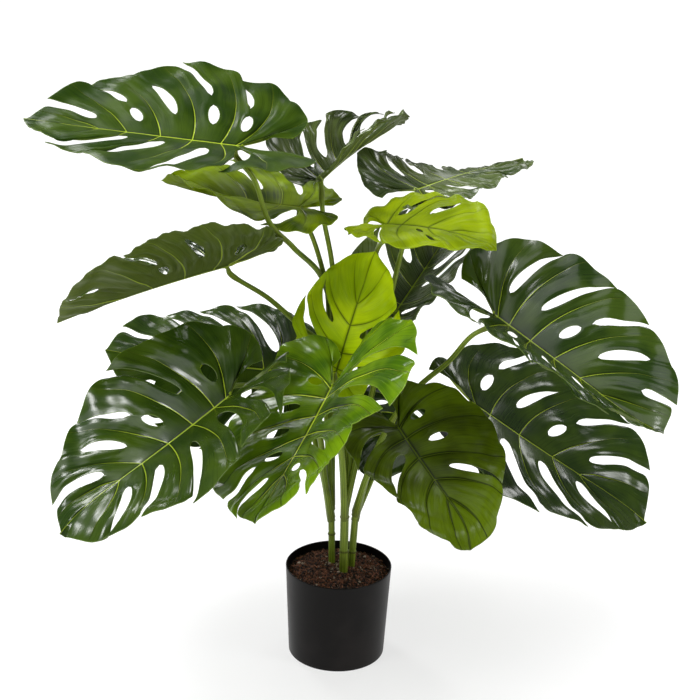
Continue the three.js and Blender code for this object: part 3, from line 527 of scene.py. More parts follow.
class NodeSheet:
    """Adds shader nodes to one material and links them."""

    def __init__(self, name: str) -> None:
        """Makes an empty material with a Principled shader.

        Args:
            name: The material's name.
        """
        self.material = bpy.data.materials.new(name)
        self.material.use_nodes = True
        self.tree = self.material.node_tree
        self.shader = self.tree.nodes["Principled BSDF"]

    def add(self, kind: str, inputs: dict | None = None, **settings: object) -> bpy.types.Node:
        """Adds a node.

        Args:
            kind: The node's type name without its ShaderNode prefix.
            inputs: Socket name or number to a plain value or to another node's output.
            settings: Properties of the node itself.

        Returns:
            The new node.
        """
        node = self.tree.nodes.new("ShaderNode" + kind)
        for key, value in settings.items():
            setattr(node, key, value)
        for key, value in (inputs or {}).items():
            self.put(node.inputs[key], value)
        return node

    def put(self, socket: Socket, value: object) -> None:
        """Sets a socket to a value, or links it to an output.

        Args:
            socket: The input.
            value: A number, a tuple or an output socket.
        """
        if isinstance(value, Socket):
            self.tree.links.new(value, socket)
        elif socket.type == "RGBA":
            socket.default_value = (*value, 1.0)
        else:
            socket.default_value = value

    def math(self, operation: str, *values: object) -> Socket:
        """Adds a Math node and gives its result."""
        return self.add("Math", dict(enumerate(values)), operation=operation).outputs[0]

    def times(self, first: object, second: object) -> Socket:
        """Multiplies two values."""
        return self.math("MULTIPLY", first, second)

    def larger(self, first: object, second: object) -> Socket:
        """Gives the larger of two values."""
        return self.math("MAXIMUM", first, second)

    def fade(self, value: object, *ends: object) -> Socket:
        """Maps a value smoothly between the ends of a Fade, and holds it outside them."""
        inputs = dict(enumerate((value, *ends)))
        return self.add("MapRange", inputs, interpolation_type="SMOOTHSTEP").outputs[0]

    def line(self, gap: Socket, width: Socket, outer: float, inner: float) -> Socket:
        """Draws a soft line round a gap of 0, from the outer to the inner count of half widths."""
        return self.fade(gap, self.times(width, outer), self.times(width, inner))

    def layers(self, color: object, *coats: tuple[Socket, object]) -> Socket:
        """Lays coats of colour over each other.

        Args:
            color: The colour under them all.
            coats: How much of each coat shows, and its colour.

        Returns:
            The mixed colour.
        """
        for part, coat in coats:
            color = self.add("Mix", {0: part, 6: color, 7: coat}, data_type="RGBA").outputs[2]
        return color

    def noise(self, place: Socket, scale: float, detail: float = 3.0, rough: float = 0.55) -> Socket:
        """Adds a noise texture of a scale, with this many octaves, each this strong after the last."""
        inputs = {"Vector": place, "Scale": scale, "Detail": detail, "Roughness": rough}
        return self.add("TexNoise", inputs).outputs["Fac"]

    def streaks(self, across: Socket, along: Socket, counts: Pair, rough: float) -> Socket:
        """Adds noise that is drawn out along a surface, by its counts across and along."""
        flat = {0: self.times(across, counts[0]), 1: self.times(along, counts[1])}
        return self.noise(self.add("CombineXYZ", flat).outputs[0], 1.0, 4.0, rough)

    def place(self) -> Socket:
        """Gives the object coordinates."""
        return self.add("TexCoord").outputs["Object"]

    def attribute(self, name: str, output: str = "Fac") -> Socket:
        """Reads a stored attribute of the mesh."""
        return self.add("Attribute", attribute_name=name).outputs[output]

    def split(self, name: str) -> tuple[Socket, ...]:
        """Reads a stored triple of numbers as three values."""
        return tuple(self.add("SeparateXYZ", {0: self.attribute(name, "Vector")}).outputs)

    def bump(self, *layers: tuple[Socket, float, float]) -> None:
        """Stacks bump layers under the shader's normal.

        Args:
            layers: Each a height, a strength and a distance in metres.
        """
        inputs = {}
        for height, strength, distance in layers:
            inputs.update({"Height": height, "Strength": strength, "Distance": distance})
            inputs["Normal"] = self.add("Bump", inputs).outputs["Normal"]
        self.put(self.shader.inputs["Normal"], inputs["Normal"])

    def finish(self, color: object, roughness: object, **others: object) -> bpy.types.Material:
        """Sets the shader's sockets.

        Args:
            color: The base colour.
            roughness: The roughness.
            others: Other sockets by their names, with underscores for spaces.

        Returns:
            The material.
        """
        for name, value in {"Base_Color": color, "Roughness": roughness, **others}.items():
            self.put(self.shader.inputs[name.replace("_", " ")], value)
        return self.material


@dataclass(frozen=True)
class LeafFinish:
    """Satin leaf: two greens in soft patches, fine streaks, veins in a contrasting line, and painted shade
    in the grooves beside the veins.
    """

    name: str
    deep: Triple
    light: Triple
    vein: Triple
    # Painted shade: the dark green laid into the grooves beside the veins and the midrib, also the darker
    # tone of the streaks.
    shade_and_streak: Triple
    under: Triple
    edge: Triple
    gloss: float = 0.21
    shine: float = 0.42
    vein_width: float = 0.0008
    vein_strength: float = 0.85
    tip_light: float = 0.0
    # How strongly the painted groove shade covers the upper face.
    groove_shade_strength: float = 0.65
    patch_scale: float = 16.0
    patches: Fade = (0.36, 0.66)
    tip: Fade = (0.25, 0.85)
    streak_counts: Pair = (30.0, 2.0)
    streak_roughness: float = 0.62
    light_streaks: Fade = (0.45, 0.78, 0.0, 0.5)
    dark_streaks: Fade = (0.5, 0.28, 0.0, 0.45)
    back_streaks: Fade = (0.4, 0.7, 0.0, 0.5)
    gloss_streaks: Fade = (0.3, 0.75)
    gloss_spread: Pair = (-0.03, 0.07)
    vein_taper: Fade = (0.1, 0.95, 1.0, 0.3)
    vein_line: Pair = (1.25, 0.5)
    vein_groove: Pair = (5.0, 1.0)
    vein_end: Fade = (0.35, 1.0, 1.0, 0.25)
    vein_near_tip: Fade = (0.2, 1.0, 1.0, 0.6)
    midrib_widths: Pair = (1.9, 0.6)
    midrib_line: Pair = (1.2, 0.6)
    midrib_groove: Pair = (4.0, 1.0)
    midrib_end: Fade = (0.2, 1.0, 1.0, 0.55)
    margin: Fade = (0.0014, 0.0002, 0.0, 0.7)
    # Painted shade: how much of the deep green the bands along the veins get on the underside.
    back_groove_shade: float = 0.4
    back_vein: float = 0.75
    back_roughness: float = 0.3
    groove_bump: Pair = (-0.5, 0.0006)
    streak_bump: Pair = (0.2, 0.0005)
    grain_bump: Pair = (0.05, 0.0003)
    grain_scale: float = 420.0

    def material(self) -> bpy.types.Material:
        """Builds the leaf's material from the blade's own line distances.

        Returns:
            The material.
        """
        sheet = NodeSheet(self.name)
        place = sheet.place()
        vein_gap, midrib_gap, margin_gap = sheet.split("leaf_lines")
        lane, reach, along = sheet.split("leaf_place")
        under = sheet.attribute("leaf_under")
        patches = sheet.fade(sheet.noise(place, self.patch_scale, 2.0), *self.patches)
        toward_tip = sheet.times(sheet.fade(along, *self.tip), self.tip_light)
        streaks = sheet.streaks(lane, reach, self.streak_counts, self.streak_roughness)
        width = sheet.times(sheet.fade(reach, *self.vein_taper), self.vein_width)
        midrib_widths = (self.vein_width * part for part in self.midrib_widths)
        midrib_width = sheet.fade(along, 0.0, 1.0, *midrib_widths)
        vein = sheet.line(vein_gap, width, *self.vein_line)
        midrib = sheet.line(midrib_gap, midrib_width, *self.midrib_line)
        # The bands beside the veins and the midrib: a bump, and painted shade in the colour.
        grooves = sheet.larger(sheet.line(vein_gap, width, *self.vein_groove),
                               sheet.line(midrib_gap, midrib_width, *self.midrib_groove))
        fading = sheet.times(sheet.fade(reach, *self.vein_end), sheet.fade(along, *self.vein_near_tip))
        lit = sheet.larger(sheet.times(vein, fading),
                           sheet.times(midrib, sheet.fade(along, *self.midrib_end)))
        face = sheet.layers(
            self.deep,
            (sheet.larger(patches, toward_tip), self.light),
            (sheet.fade(streaks, *self.light_streaks), self.light),
            (sheet.fade(streaks, *self.dark_streaks), self.shade_and_streak),
            # Painted shade in the grooves beside the veins.
            (sheet.times(grooves, self.groove_shade_strength), self.shade_and_streak),
            (sheet.times(lit, self.vein_strength), self.vein),
            (sheet.fade(margin_gap, *self.margin), self.edge))
        back = sheet.layers(
            self.under,
            (sheet.fade(streaks, *self.back_streaks), self.light),
            # Painted shade along the veins of the underside.
            (sheet.times(grooves, self.back_groove_shade), self.deep),
            (sheet.times(sheet.larger(vein, midrib), self.back_vein), self.vein))
        glosses = (self.gloss + more for more in self.gloss_spread)
        roughness = sheet.fade(streaks, *self.gloss_streaks, *glosses)
        roughness = sheet.math("ADD", roughness, sheet.times(under, self.back_roughness))
        grain = sheet.noise(place, self.grain_scale, 2.0)
        sheet.bump((grooves, *self.groove_bump), (streaks, *self.streak_bump), (grain, *self.grain_bump))
        color = sheet.layers(face, (under, back))
        return sheet.finish(color, roughness, Specular_IOR_Level=self.shine)


@dataclass(frozen=True)
class StemFinish:
    """Smooth olive green stalk skin with long paler stripes."""

    green: Triple = (0.1, 0.165, 0.006)
    pale: Triple = (0.36, 0.45, 0.05)
    brown: Triple = (0.05, 0.04, 0.008)
    stripe_counts: Pair = (22.0, 9.0)
    stripe_roughness: float = 0.65
    pale_stripes: Fade = (0.42, 0.68)
    stain_scale: float = 24.0
    stains: Fade = (0.5, 0.72, 0.0, 0.4)
    scar_strength: float = 0.8
    grain_scale: float = 300.0
    stripe_bump: Pair = (0.4, 0.0008)
    grain_bump: Pair = (0.15, 0.0004)
    sheen: Fade = (0.3, 0.7, 0.34, 0.48)
    shine: float = 0.22

    def material(self) -> bpy.types.Material:
        """Builds the stalks' material.

        Returns:
            The material.
        """
        sheet = NodeSheet("stem_skin")
        along, around, scar = sheet.split("stem_place")
        stripes = sheet.streaks(around, along, self.stripe_counts, self.stripe_roughness)
        place = sheet.place()
        color = sheet.layers(
            self.green,
            (sheet.fade(stripes, *self.pale_stripes), self.pale),
            (sheet.fade(sheet.noise(place, self.stain_scale), *self.stains), self.brown),
            (sheet.times(scar, self.scar_strength), self.brown))
        grain = sheet.noise(place, self.grain_scale)
        sheet.bump((stripes, *self.stripe_bump), (grain, *self.grain_bump))
        return sheet.finish(color, sheet.fade(stripes, *self.sheen), Specular_IOR_Level=self.shine)


@dataclass(frozen=True)
class SoilFinish:
    """Dry dark brown crumbs, each of its own shade, a few of them pale."""

    dark: Triple = (0.011, 0.005, 0.003)
    middle: Triple = (0.24, 0.09, 0.047)
    pale: Triple = (0.42, 0.33, 0.26)
    brown_shades: Fade = (0.15, 0.9)
    pale_shades: Fade = (0.96, 0.99)
    grain_scale: float = 900.0
    dark_grains: Fade = (0.4, 0.7, 0.0, 0.5)
    grain_bump: Pair = (0.5, 0.0006)
    roughness: float = 0.88

    def material(self) -> bpy.types.Material:
        """Builds the soil's material.

        Returns:
            The material.
        """
        sheet = NodeSheet("soil_crumbs")
        shade = sheet.attribute("crumb_shade")
        grain = sheet.noise(sheet.place(), self.grain_scale)
        color = sheet.layers(
            self.dark,
            (sheet.fade(shade, *self.brown_shades), self.middle),
            (sheet.fade(shade, *self.pale_shades), self.pale),
            (sheet.fade(grain, *self.dark_grains), self.dark))
        sheet.bump((grain, *self.grain_bump))
        return sheet.finish(color, self.roughness)


@dataclass(frozen=True)
class PotFinish:
    """Black moulded plastic, matt with a soft sheen and a faint grain."""

    black: Triple = (0.0066, 0.0057, 0.0054)
    worn: Triple = (0.014, 0.0118, 0.0112)
    cloud_scale: float = 11.0
    worn_clouds: Fade = (0.4, 0.7)
    grain_scale: float = 1400.0
    grain_bump: Pair = (0.12, 0.0003)
    sheen: Fade = (0.3, 0.7, 0.34, 0.44)
    shine: float = 0.12

    def material(self) -> bpy.types.Material:
        """Builds the pot's material.

        Returns:
            The material.
        """
        sheet = NodeSheet("pot_plastic")
        place = sheet.place()
        cloud = sheet.noise(place, self.cloud_scale)
        color = sheet.layers(self.black, (sheet.fade(cloud, *self.worn_clouds), self.worn))
        sheet.bump((sheet.noise(place, self.grain_scale, 2.0), *self.grain_bump))
        return sheet.finish(color, sheet.fade(cloud, *self.sheen), Specular_IOR_Level=self.shine)


@dataclass
class Blade:
    """Builds one leaf blade: lobes blended between their seams, bent, ribbed and thickened.

    The fields from thickness on are in metres, those from seam_bow on are parts of the blade's
    length or of a lobe's width, drift_turns are radians by row and by lobe, lift_turns are radians
    by lobe and the millimetres of length for one more, and those named rows are the rows between
    which something fades in.
    """

    spec: LeafSpec
    seed: int
    thickness: float = 0.0009
    keel_height: float = 0.0026
    keel_width: float = 0.0028
    rib: Pair = (0.0007, 0.0012)
    midrib_groove: Pair = (0.0005, 0.0016)
    vein_groove: Pair = (0.0004, 0.0013)
    ripple: float = 0.0014
    edge_ripple: float = 0.0024
    pleat: float = 0.0004
    seam_bow: float = 0.12
    vein_trough: float = 0.02
    lobe_lift: float = 0.016
    tip_curl: float = 0.02
    curl_loss: float = 0.5
    edge_roll: float = 0.008
    corner_round: float = 0.1
    corner_start: float = 0.4
    tip_start: float = 0.6
    mouth: float = 0.3
    handle: float = 0.33
    free_handle: float = 0.12
    keel_end: float = 0.08
    roll_width: float = 0.2
    pleat_count: float = 3.3
    pleat_gap: Pair = (0.02, 0.14)
    drift: float = 0.35
    drift_turns: Pair = (0.8, 2.3)
    lift_turns: Pair = (2.4, 7)
    fine_swell: float = 0.6
    ripple_rows: Pair = (0, 2.5)
    edge_rows: Pair = (3.5, 6)
    pleat_rows: Pair = (0.4, 1.8)
    lift_rows: Pair = (2.5, 6)
    curl_rows: Pair = (3.6, 7.5)
    parting_rows: float = 1.5

    def seam_line(self, half: LeafHalf, seam: int, along: Array) -> tuple[Array, Array]:
        """Follows a seam from the midrib to the margin.

        Args:
            half: The half blade.
            seam: The seam's number.
            along: Parts of its length.

        Returns:
            The points and the unit directions there.
        """
        start = np.array([SEAM_STARTS[self.spec.lobes][seam], 0.0])
        end = np.array(half.ends[seam])
        bow = 2 * (self.seam_bow if seam else -self.seam_bow)
        middle = (start + end) / 2 + bow * np.array([start[1] - end[1], end[0] - start[0]])
        t = along[:, None]
        points = (1 - t) ** 2 * start + 2 * t * (1 - t) * middle + t ** 2 * end
        direction = (1 - t) * (middle - start) + t * (end - middle)
        return points, direction / np.linalg.norm(direction, axis=1, keepdims=True)

    def lobe_edge(self, half: LeafHalf, seam: int, side: int, opening: float = 1.0) -> Array:
        """Gives one edge of a lobe, moved off its seam by the cut.

        Args:
            half: The half blade.
            seam: The seam's number.
            side: 1 for the lobe's edge towards the tip, -1 for its leading edge.
            opening: How far the cut is open, 0 for the bare seam.

        Returns:
            The edge's flat point at each row.
        """
        cut = half.seam(seam)
        along = cut.out()
        if seam == self.spec.lobes:
            start = SEAM_STARTS[seam][-1]
            return np.stack([start + (1 - start) * along, 0 * along], axis=1)
        if side < 0 and cut.at_margin():
            outer = np.clip((along - self.corner_start) / (1 - self.corner_start), 0, 1)
            along = along * (1 - self.corner_round * outer ** 1.5)
        points, direction = self.seam_line(half, seam, along)
        towards_tip = np.stack([direction[:, 1], -direction[:, 0]], axis=1)
        narrower = np.clip((BLADE_ROWS - ROWS) / self.parting_rows, 0, 1)
        wider = 1 + self.mouth * np.clip(ROWS + 1 - BLADE_ROWS, 0, 1)
        width = cut.half_width() * (narrower if side > 0 else wider)
        return points - towards_tip * (side * opening * width)[:, None]

    def lobe_margin(self, half: LeafHalf, lobe: int, start: Array, end: Array) -> Array:
        """Gives a lobe's outer margin, a curve that bulges beyond its chord.

        Args:
            half: The half blade.
            lobe: The lobe's number.
            start: Its leading corner.
            end: Its trailing corner.

        Returns:
            A point for each column.
        """
        free = lobe > 0 and half.seam(lobe).at_margin()
        kind = {0: "notch", 1: "shoulder"}.get(lobe, "free" if free else "joined")
        if lobe == self.spec.lobes - 1:
            kind += "_tip"
        near, far = BULGES[kind]
        chord = end - start
        outward = np.array([-chord[1], chord[0]])
        first = start + chord * (self.free_handle if free else self.handle) + outward * near
        second = end - chord * self.handle + outward * far
        t = COLUMNS[:, None]
        return ((1 - t) ** 3 * start + 3 * t * (1 - t) ** 2 * first
                + 3 * t ** 2 * (1 - t) * second + t ** 3 * end)

    def lobe_net(self, half: LeafHalf, lobe: int) -> Array:
        """Blends a lobe's four edges over its inside, with a vein that no cut moves.

        Args:
            half: The half blade.
            lobe: The lobe's number.

        Returns:
            Flat points by column and row.
        """
        a = COLUMNS[:, None, None]
        seams = ((lobe, -1), (lobe + 1, 1))
        edges = [self.lobe_edge(half, seam, side) for seam, side in seams]
        margin = self.lobe_margin(half, lobe, edges[0][-1], edges[1][-1])[:, None]
        out = [half.seam(seam).out()[:, None] for seam, _ in seams]

        def blend(first: Array, second: Array) -> Array:
            """Blends two edges and the margin over the lobe."""
            missing = margin - (1 - a) * first[-1] - a * second[-1]
            return (1 - a) * first + a * second + ((1 - a) * out[0] + a * out[1]) * missing

        flat = blend(*edges)
        bare = blend(*(self.lobe_edge(half, seam, side, 0.0) for seam, side in seams))
        return flat + np.sin(np.pi * a) ** 1.5 * (bare[VEIN_COLUMN] - flat[VEIN_COLUMN])

    def lift_of(self, lobe: int) -> float:
        """Gives one lobe's lift at its free end, another for each lobe and leaf."""
        by_lobe, millimetres = self.lift_turns
        return self.lobe_lift * math.sin(by_lobe * lobe + self.spec.length * 1000 / millimetres)

    def relief(self, half: LeafHalf, lobe: int, flat: Array) -> Array:
        """Gives the height of the surface over the bent blade, as a part of its length.

        Args:
            half: The half blade.
            lobe: The lobe's number.
            flat: The lobe's flat points by column and row.

        Returns:
            Heights by column and row.
        """
        across, rows = COLUMNS[:, None], ROWS[None, :]
        own = self.lift_of(lobe)
        height = 0 * across * rows
        low, high = self.lift_rows
        lifting = np.clip((rows - low) / (high - low), 0, 1) ** 2
        for seam, neighbour, near in ((lobe, lobe - 1, 1 - across), (lobe + 1, lobe + 1, across)):
            cut = half.seam(seam)
            parting = smooth(rows, cut.last_start(), cut.last_start() + self.parting_rows)
            shared = own if seam in (0, self.spec.lobes) else (own + self.lift_of(neighbour)) / 2
            height += near * lifting * (shared + (own - shared) * parting * cut.at_margin())
            if cut.at_margin() or seam == 0:
                height -= self.edge_roll * parting * (1 - smooth(1 - near, 0, self.roll_width))
        off_vein = np.abs(across - 0.5)
        trough = np.sin(np.pi * (rows / BLADE_ROWS) ** 0.8) * (1 - np.sin(np.pi * off_vein) ** 0.9)
        curl = smooth(rows, *self.curl_rows) * (1 - self.curl_loss * across)
        turns = np.random.default_rng(self.seed).uniform(0, TURN, 6)
        waves = [np.sin(u * flat[..., 0] + v * flat[..., 1] + turn) for (u, v), turn in zip(WAVES, turns)]
        swell = waves[0] * waves[1] + self.fine_swell * waves[2] * waves[3]
        by_row, by_lobe = self.drift_turns
        drift = self.drift * np.sin(by_row * rows + by_lobe * lobe + turns[5])
        pleats = np.sin(TURN * (self.pleat_count * across + drift)) * smooth(off_vein, *self.pleat_gap)
        ripple = (self.ripple * swell * smooth(rows, *self.ripple_rows)
                  + self.edge_ripple * waves[4] * smooth(rows, *self.edge_rows)
                  + self.pleat * pleats * smooth(rows, *self.pleat_rows))
        return height - self.vein_trough * trough - self.tip_curl * curl + ripple / self.spec.length

    def midrib(self, u: Array) -> tuple[Array, Array, Array]:
        """Follows the bent midrib.

        Args:
            u: Parts of the blade's length, negative behind the joint.

        Returns:
            Distance forward, height, and slope in radians.
        """
        def slope(x: Array) -> Array:
            """Gives the midrib's downward slope."""
            near_tip = np.clip((x - self.tip_start) / (1 - self.tip_start), 0, 2) ** 2
            return np.radians(self.spec.bend * x + self.spec.tip_bend * near_tip)

        table = np.linspace(-0.5, 1.15, 401)
        middle = slope((table[1:] + table[:-1]) / 2)
        runs = []
        for steps in (np.cos(middle), -np.sin(middle)):
            run = np.concatenate([[0], np.cumsum(steps * np.diff(table))])
            runs.append(np.interp(u, table, run - np.interp(0, table, run)))
        return *runs, slope(u)

    def bend(self, flat: Array, side: int, height: Array) -> Array:
        """Bends flat points of a half blade to their place in the plant.

        Args:
            flat: Flat points, parts of the length.
            side: 1 for the left half, -1 for the right one.
            height: Heights over the surface, parts of the length.

        Returns:
            Points in metres.
        """
        spec = self.spec
        half = spec.left if side > 0 else spec.right
        u, v = flat[..., 0], flat[..., 1]
        along, above, slope = self.midrib(u)
        fold = np.radians(half.fold + (half.fold_tip - half.fold) * np.clip(u, -0.3, 1))
        curl = math.radians(half.curl)
        droop = fold + curl * v
        out = (np.sin(droop) - np.sin(fold)) / curl + height * np.sin(droop)
        lift = (np.cos(droop) - np.cos(fold)) / curl + height * np.cos(droop)
        sideways = side * out + math.radians(spec.sweep) * u * np.abs(u) / 2
        own = np.stack([along + lift * np.sin(slope), sideways, above + lift * np.cos(slope)], axis=-1)
        return np.array(spec.joint) + own @ np.array(spec.axes()) * spec.length

    def edge_gap(self, half: LeafHalf, lobe: int, flat: Array) -> Array:
        """Measures roughly how far each point of a lobe is from a free edge.

        Args:
            half: The half blade.
            lobe: The lobe's number.
            flat: Its flat points.

        Returns:
            Distances, parts of the length.
        """
        gap = np.linalg.norm(flat - flat[:, -1:], axis=2)
        for seam, edge in ((lobe, flat[:1]), (lobe + 1, flat[-1:])):
            free = half.seam(seam).parted() | (seam == 0)
            gap = np.minimum(gap, np.where(free, np.linalg.norm(flat - edge, axis=2), np.inf))
        return gap

    def net(self) -> tuple[Array, Faces, Array, Array]:
        """Joins all lobes into one net, parted only where the seams are open.

        Returns:
            The points, the squares, and for each point its gaps to the lobe's vein, the midrib and
            the edge in metres, and its lane, its part of the way out and its part of the way along.
        """
        spec, last_column = self.spec, len(COLUMNS) - 1
        corners: list[Array] = []
        squares: Faces = []
        shared: dict[tuple, int] = {}
        for side, half in ((1, spec.left), (-1, spec.right)):
            for lobe in range(spec.lobes):
                at_tip = lobe == spec.lobes - 1
                flat = self.lobe_net(half, lobe)
                height = self.relief(half, lobe, flat)
                if at_tip:
                    height[-1] = 0
                gaps = np.dstack([np.linalg.norm(flat - flat[VEIN_COLUMN], axis=2), flat[..., 1],
                                  self.edge_gap(half, lobe, flat)]) * spec.length
                lane = 0 * height + lobe + COLUMNS[:, None] + HALF_LANES * side
                reach = 0 * height + ROWS / BLADE_ROWS
                values = np.dstack([self.bend(flat, side, height), gaps, lane, reach, flat[..., 0]])
                before, after = half.seam(lobe).parted(), half.seam(lobe + 1).parted()
                number = np.empty(height.shape, int)
                for column, row in np.ndindex(height.shape):
                    key = (side, lobe, column, row)
                    if row == 0 or (at_tip and column == last_column):
                        key = ("midrib", round(float(flat[column, row, 0]), 6))
                    elif column == 0 and lobe > 0 and not before[row]:
                        key = ("seam", side, lobe, row)
                    elif column == last_column and not after[row]:
                        key = ("seam", side, lobe + 1, row)
                    if key not in shared:
                        shared[key] = len(corners)
                        corners.append(values[column, row])
                    number[column, row] = shared[key]
                for column, row in np.ndindex(last_column, len(ROWS) - 1):
                    square = (number[column, row], number[column + 1, row],
                              number[column + 1, row + 1], number[column, row + 1])
                    square = tuple(dict.fromkeys(int(i) for i in square))
                    if len(square) > 2:
                        squares.append(square if side > 0 else square[::-1])
        points, gaps, places = np.split(np.array(corners), (3, 6), axis=1)
        return points, squares, gaps, places

    def build(self) -> bpy.types.Object:
        """Thickens the net, with a keel under the midrib and ribs under the side veins.

        Returns:
            The blade's object.
        """
        points, squares, gaps, places = self.net()
        normals = np.zeros_like(points)
        for square in squares:
            corners = points[list(square)]
            normals[list(square)] += np.cross(corners[2] - corners[0], corners[-1] - corners[1])
        normals /= np.linalg.norm(normals, axis=1, keepdims=True) + TINY ** 2
        vein, midrib = gaps[:, 0], gaps[:, 1]
        reach, along = places[:, 1], places[:, 2]
        taper = np.clip(1 - along, self.keel_end, 1)
        keel = ridge(midrib, self.keel_height * taper, self.keel_width * (0.35 + 0.65 * taper))
        inside = smooth(reach, 0.02, 0.1) * (1 - reach)
        groove = ridge(midrib, *self.midrib_groove) + inside * ridge(vein, *self.vein_groove)
        below = self.thickness / 2 + keel + inside * ridge(vein, *self.rib)
        upper = points + normals * (self.thickness / 2 - groove)[:, None]
        lower = points - normals * below[:, None]
        count = len(points)
        edges = dict.fromkeys(edge for square in squares for edge in zip(square, square[1:] + square[:1]))
        free = [(start, end) for start, end in edges if (end, start) not in edges]
        faces = squares + [tuple(i + count for i in square[::-1]) for square in squares]
        faces += [(end, start, start + count, end + count) for start, end in free]
        return mesh_object(
            self.spec.name + "_blade", np.concatenate([upper, lower]), faces, sharp_deg=55,
            leaf_lines=np.concatenate([gaps, gaps]), leaf_place=np.concatenate([places, places]),
            leaf_under=np.repeat([0.0, 1.0], count))


class Route:
    """A smooth centripetal curve through given points, read by its length."""

    def __init__(self, through: list[Array], samples: int = 40) -> None:
        """Samples the curve finely.

        Args:
            through: The points it passes.
            samples: Samples between two of them.
        """
        points = [2 * through[0] - through[1], *through, 2 * through[-1] - through[-2]]
        t = np.linspace(0, 1, samples, endpoint=False)[:, None]
        pieces = []
        for before, start, end, after in zip(points, points[1:], points[2:], points[3:]):
            a, b, c = (np.linalg.norm(step) ** 0.5 for step in (start - before, end - start, after - end))
            first = b * ((start - before) / a - (end - before) / (a + b)) + end - start
            second = b * ((after - end) / c - (after - start) / (b + c)) + end - start
            pieces.append(start + first * t + (3 * (end - start) - 2 * first - second) * t ** 2
                          + (2 * (start - end) + first + second) * t ** 3)
        self.line = np.concatenate([*pieces, [through[-1]]])
        self.reach = np.concatenate([[0], np.cumsum(np.linalg.norm(np.diff(self.line, axis=0), axis=1))])
        self.length = float(self.reach[-1])

    def at(self, distance: Array) -> Array:
        """Reads the points at distances along the curve."""
        return np.stack([np.interp(distance, self.reach, self.line[:, k]) for k in range(3)], axis=-1)

    def at_height(self, height: float) -> Array:
        """Reads the point at a height on a rising curve."""
        return self.at(np.interp(height, self.line[:, 2], self.reach))


@dataclass(frozen=True)
class PotSizes:
    """The pot's sizes, with the level and the dome of the soil in it and the depth of its holes."""

    height: float = 0.134
    rim_radius: float = 0.075
    foot_radius: float = 0.0685
    wall: float = 0.002
    floor: float = 0.003
    soil_below_rim: float = 0.013
    soil_dome: float = 0.005
    hole_depth: float = 0.07

    @property
    def soil_top(self) -> float:
        """Gives the height of the soil's edge."""
        return self.height - self.soil_below_rim


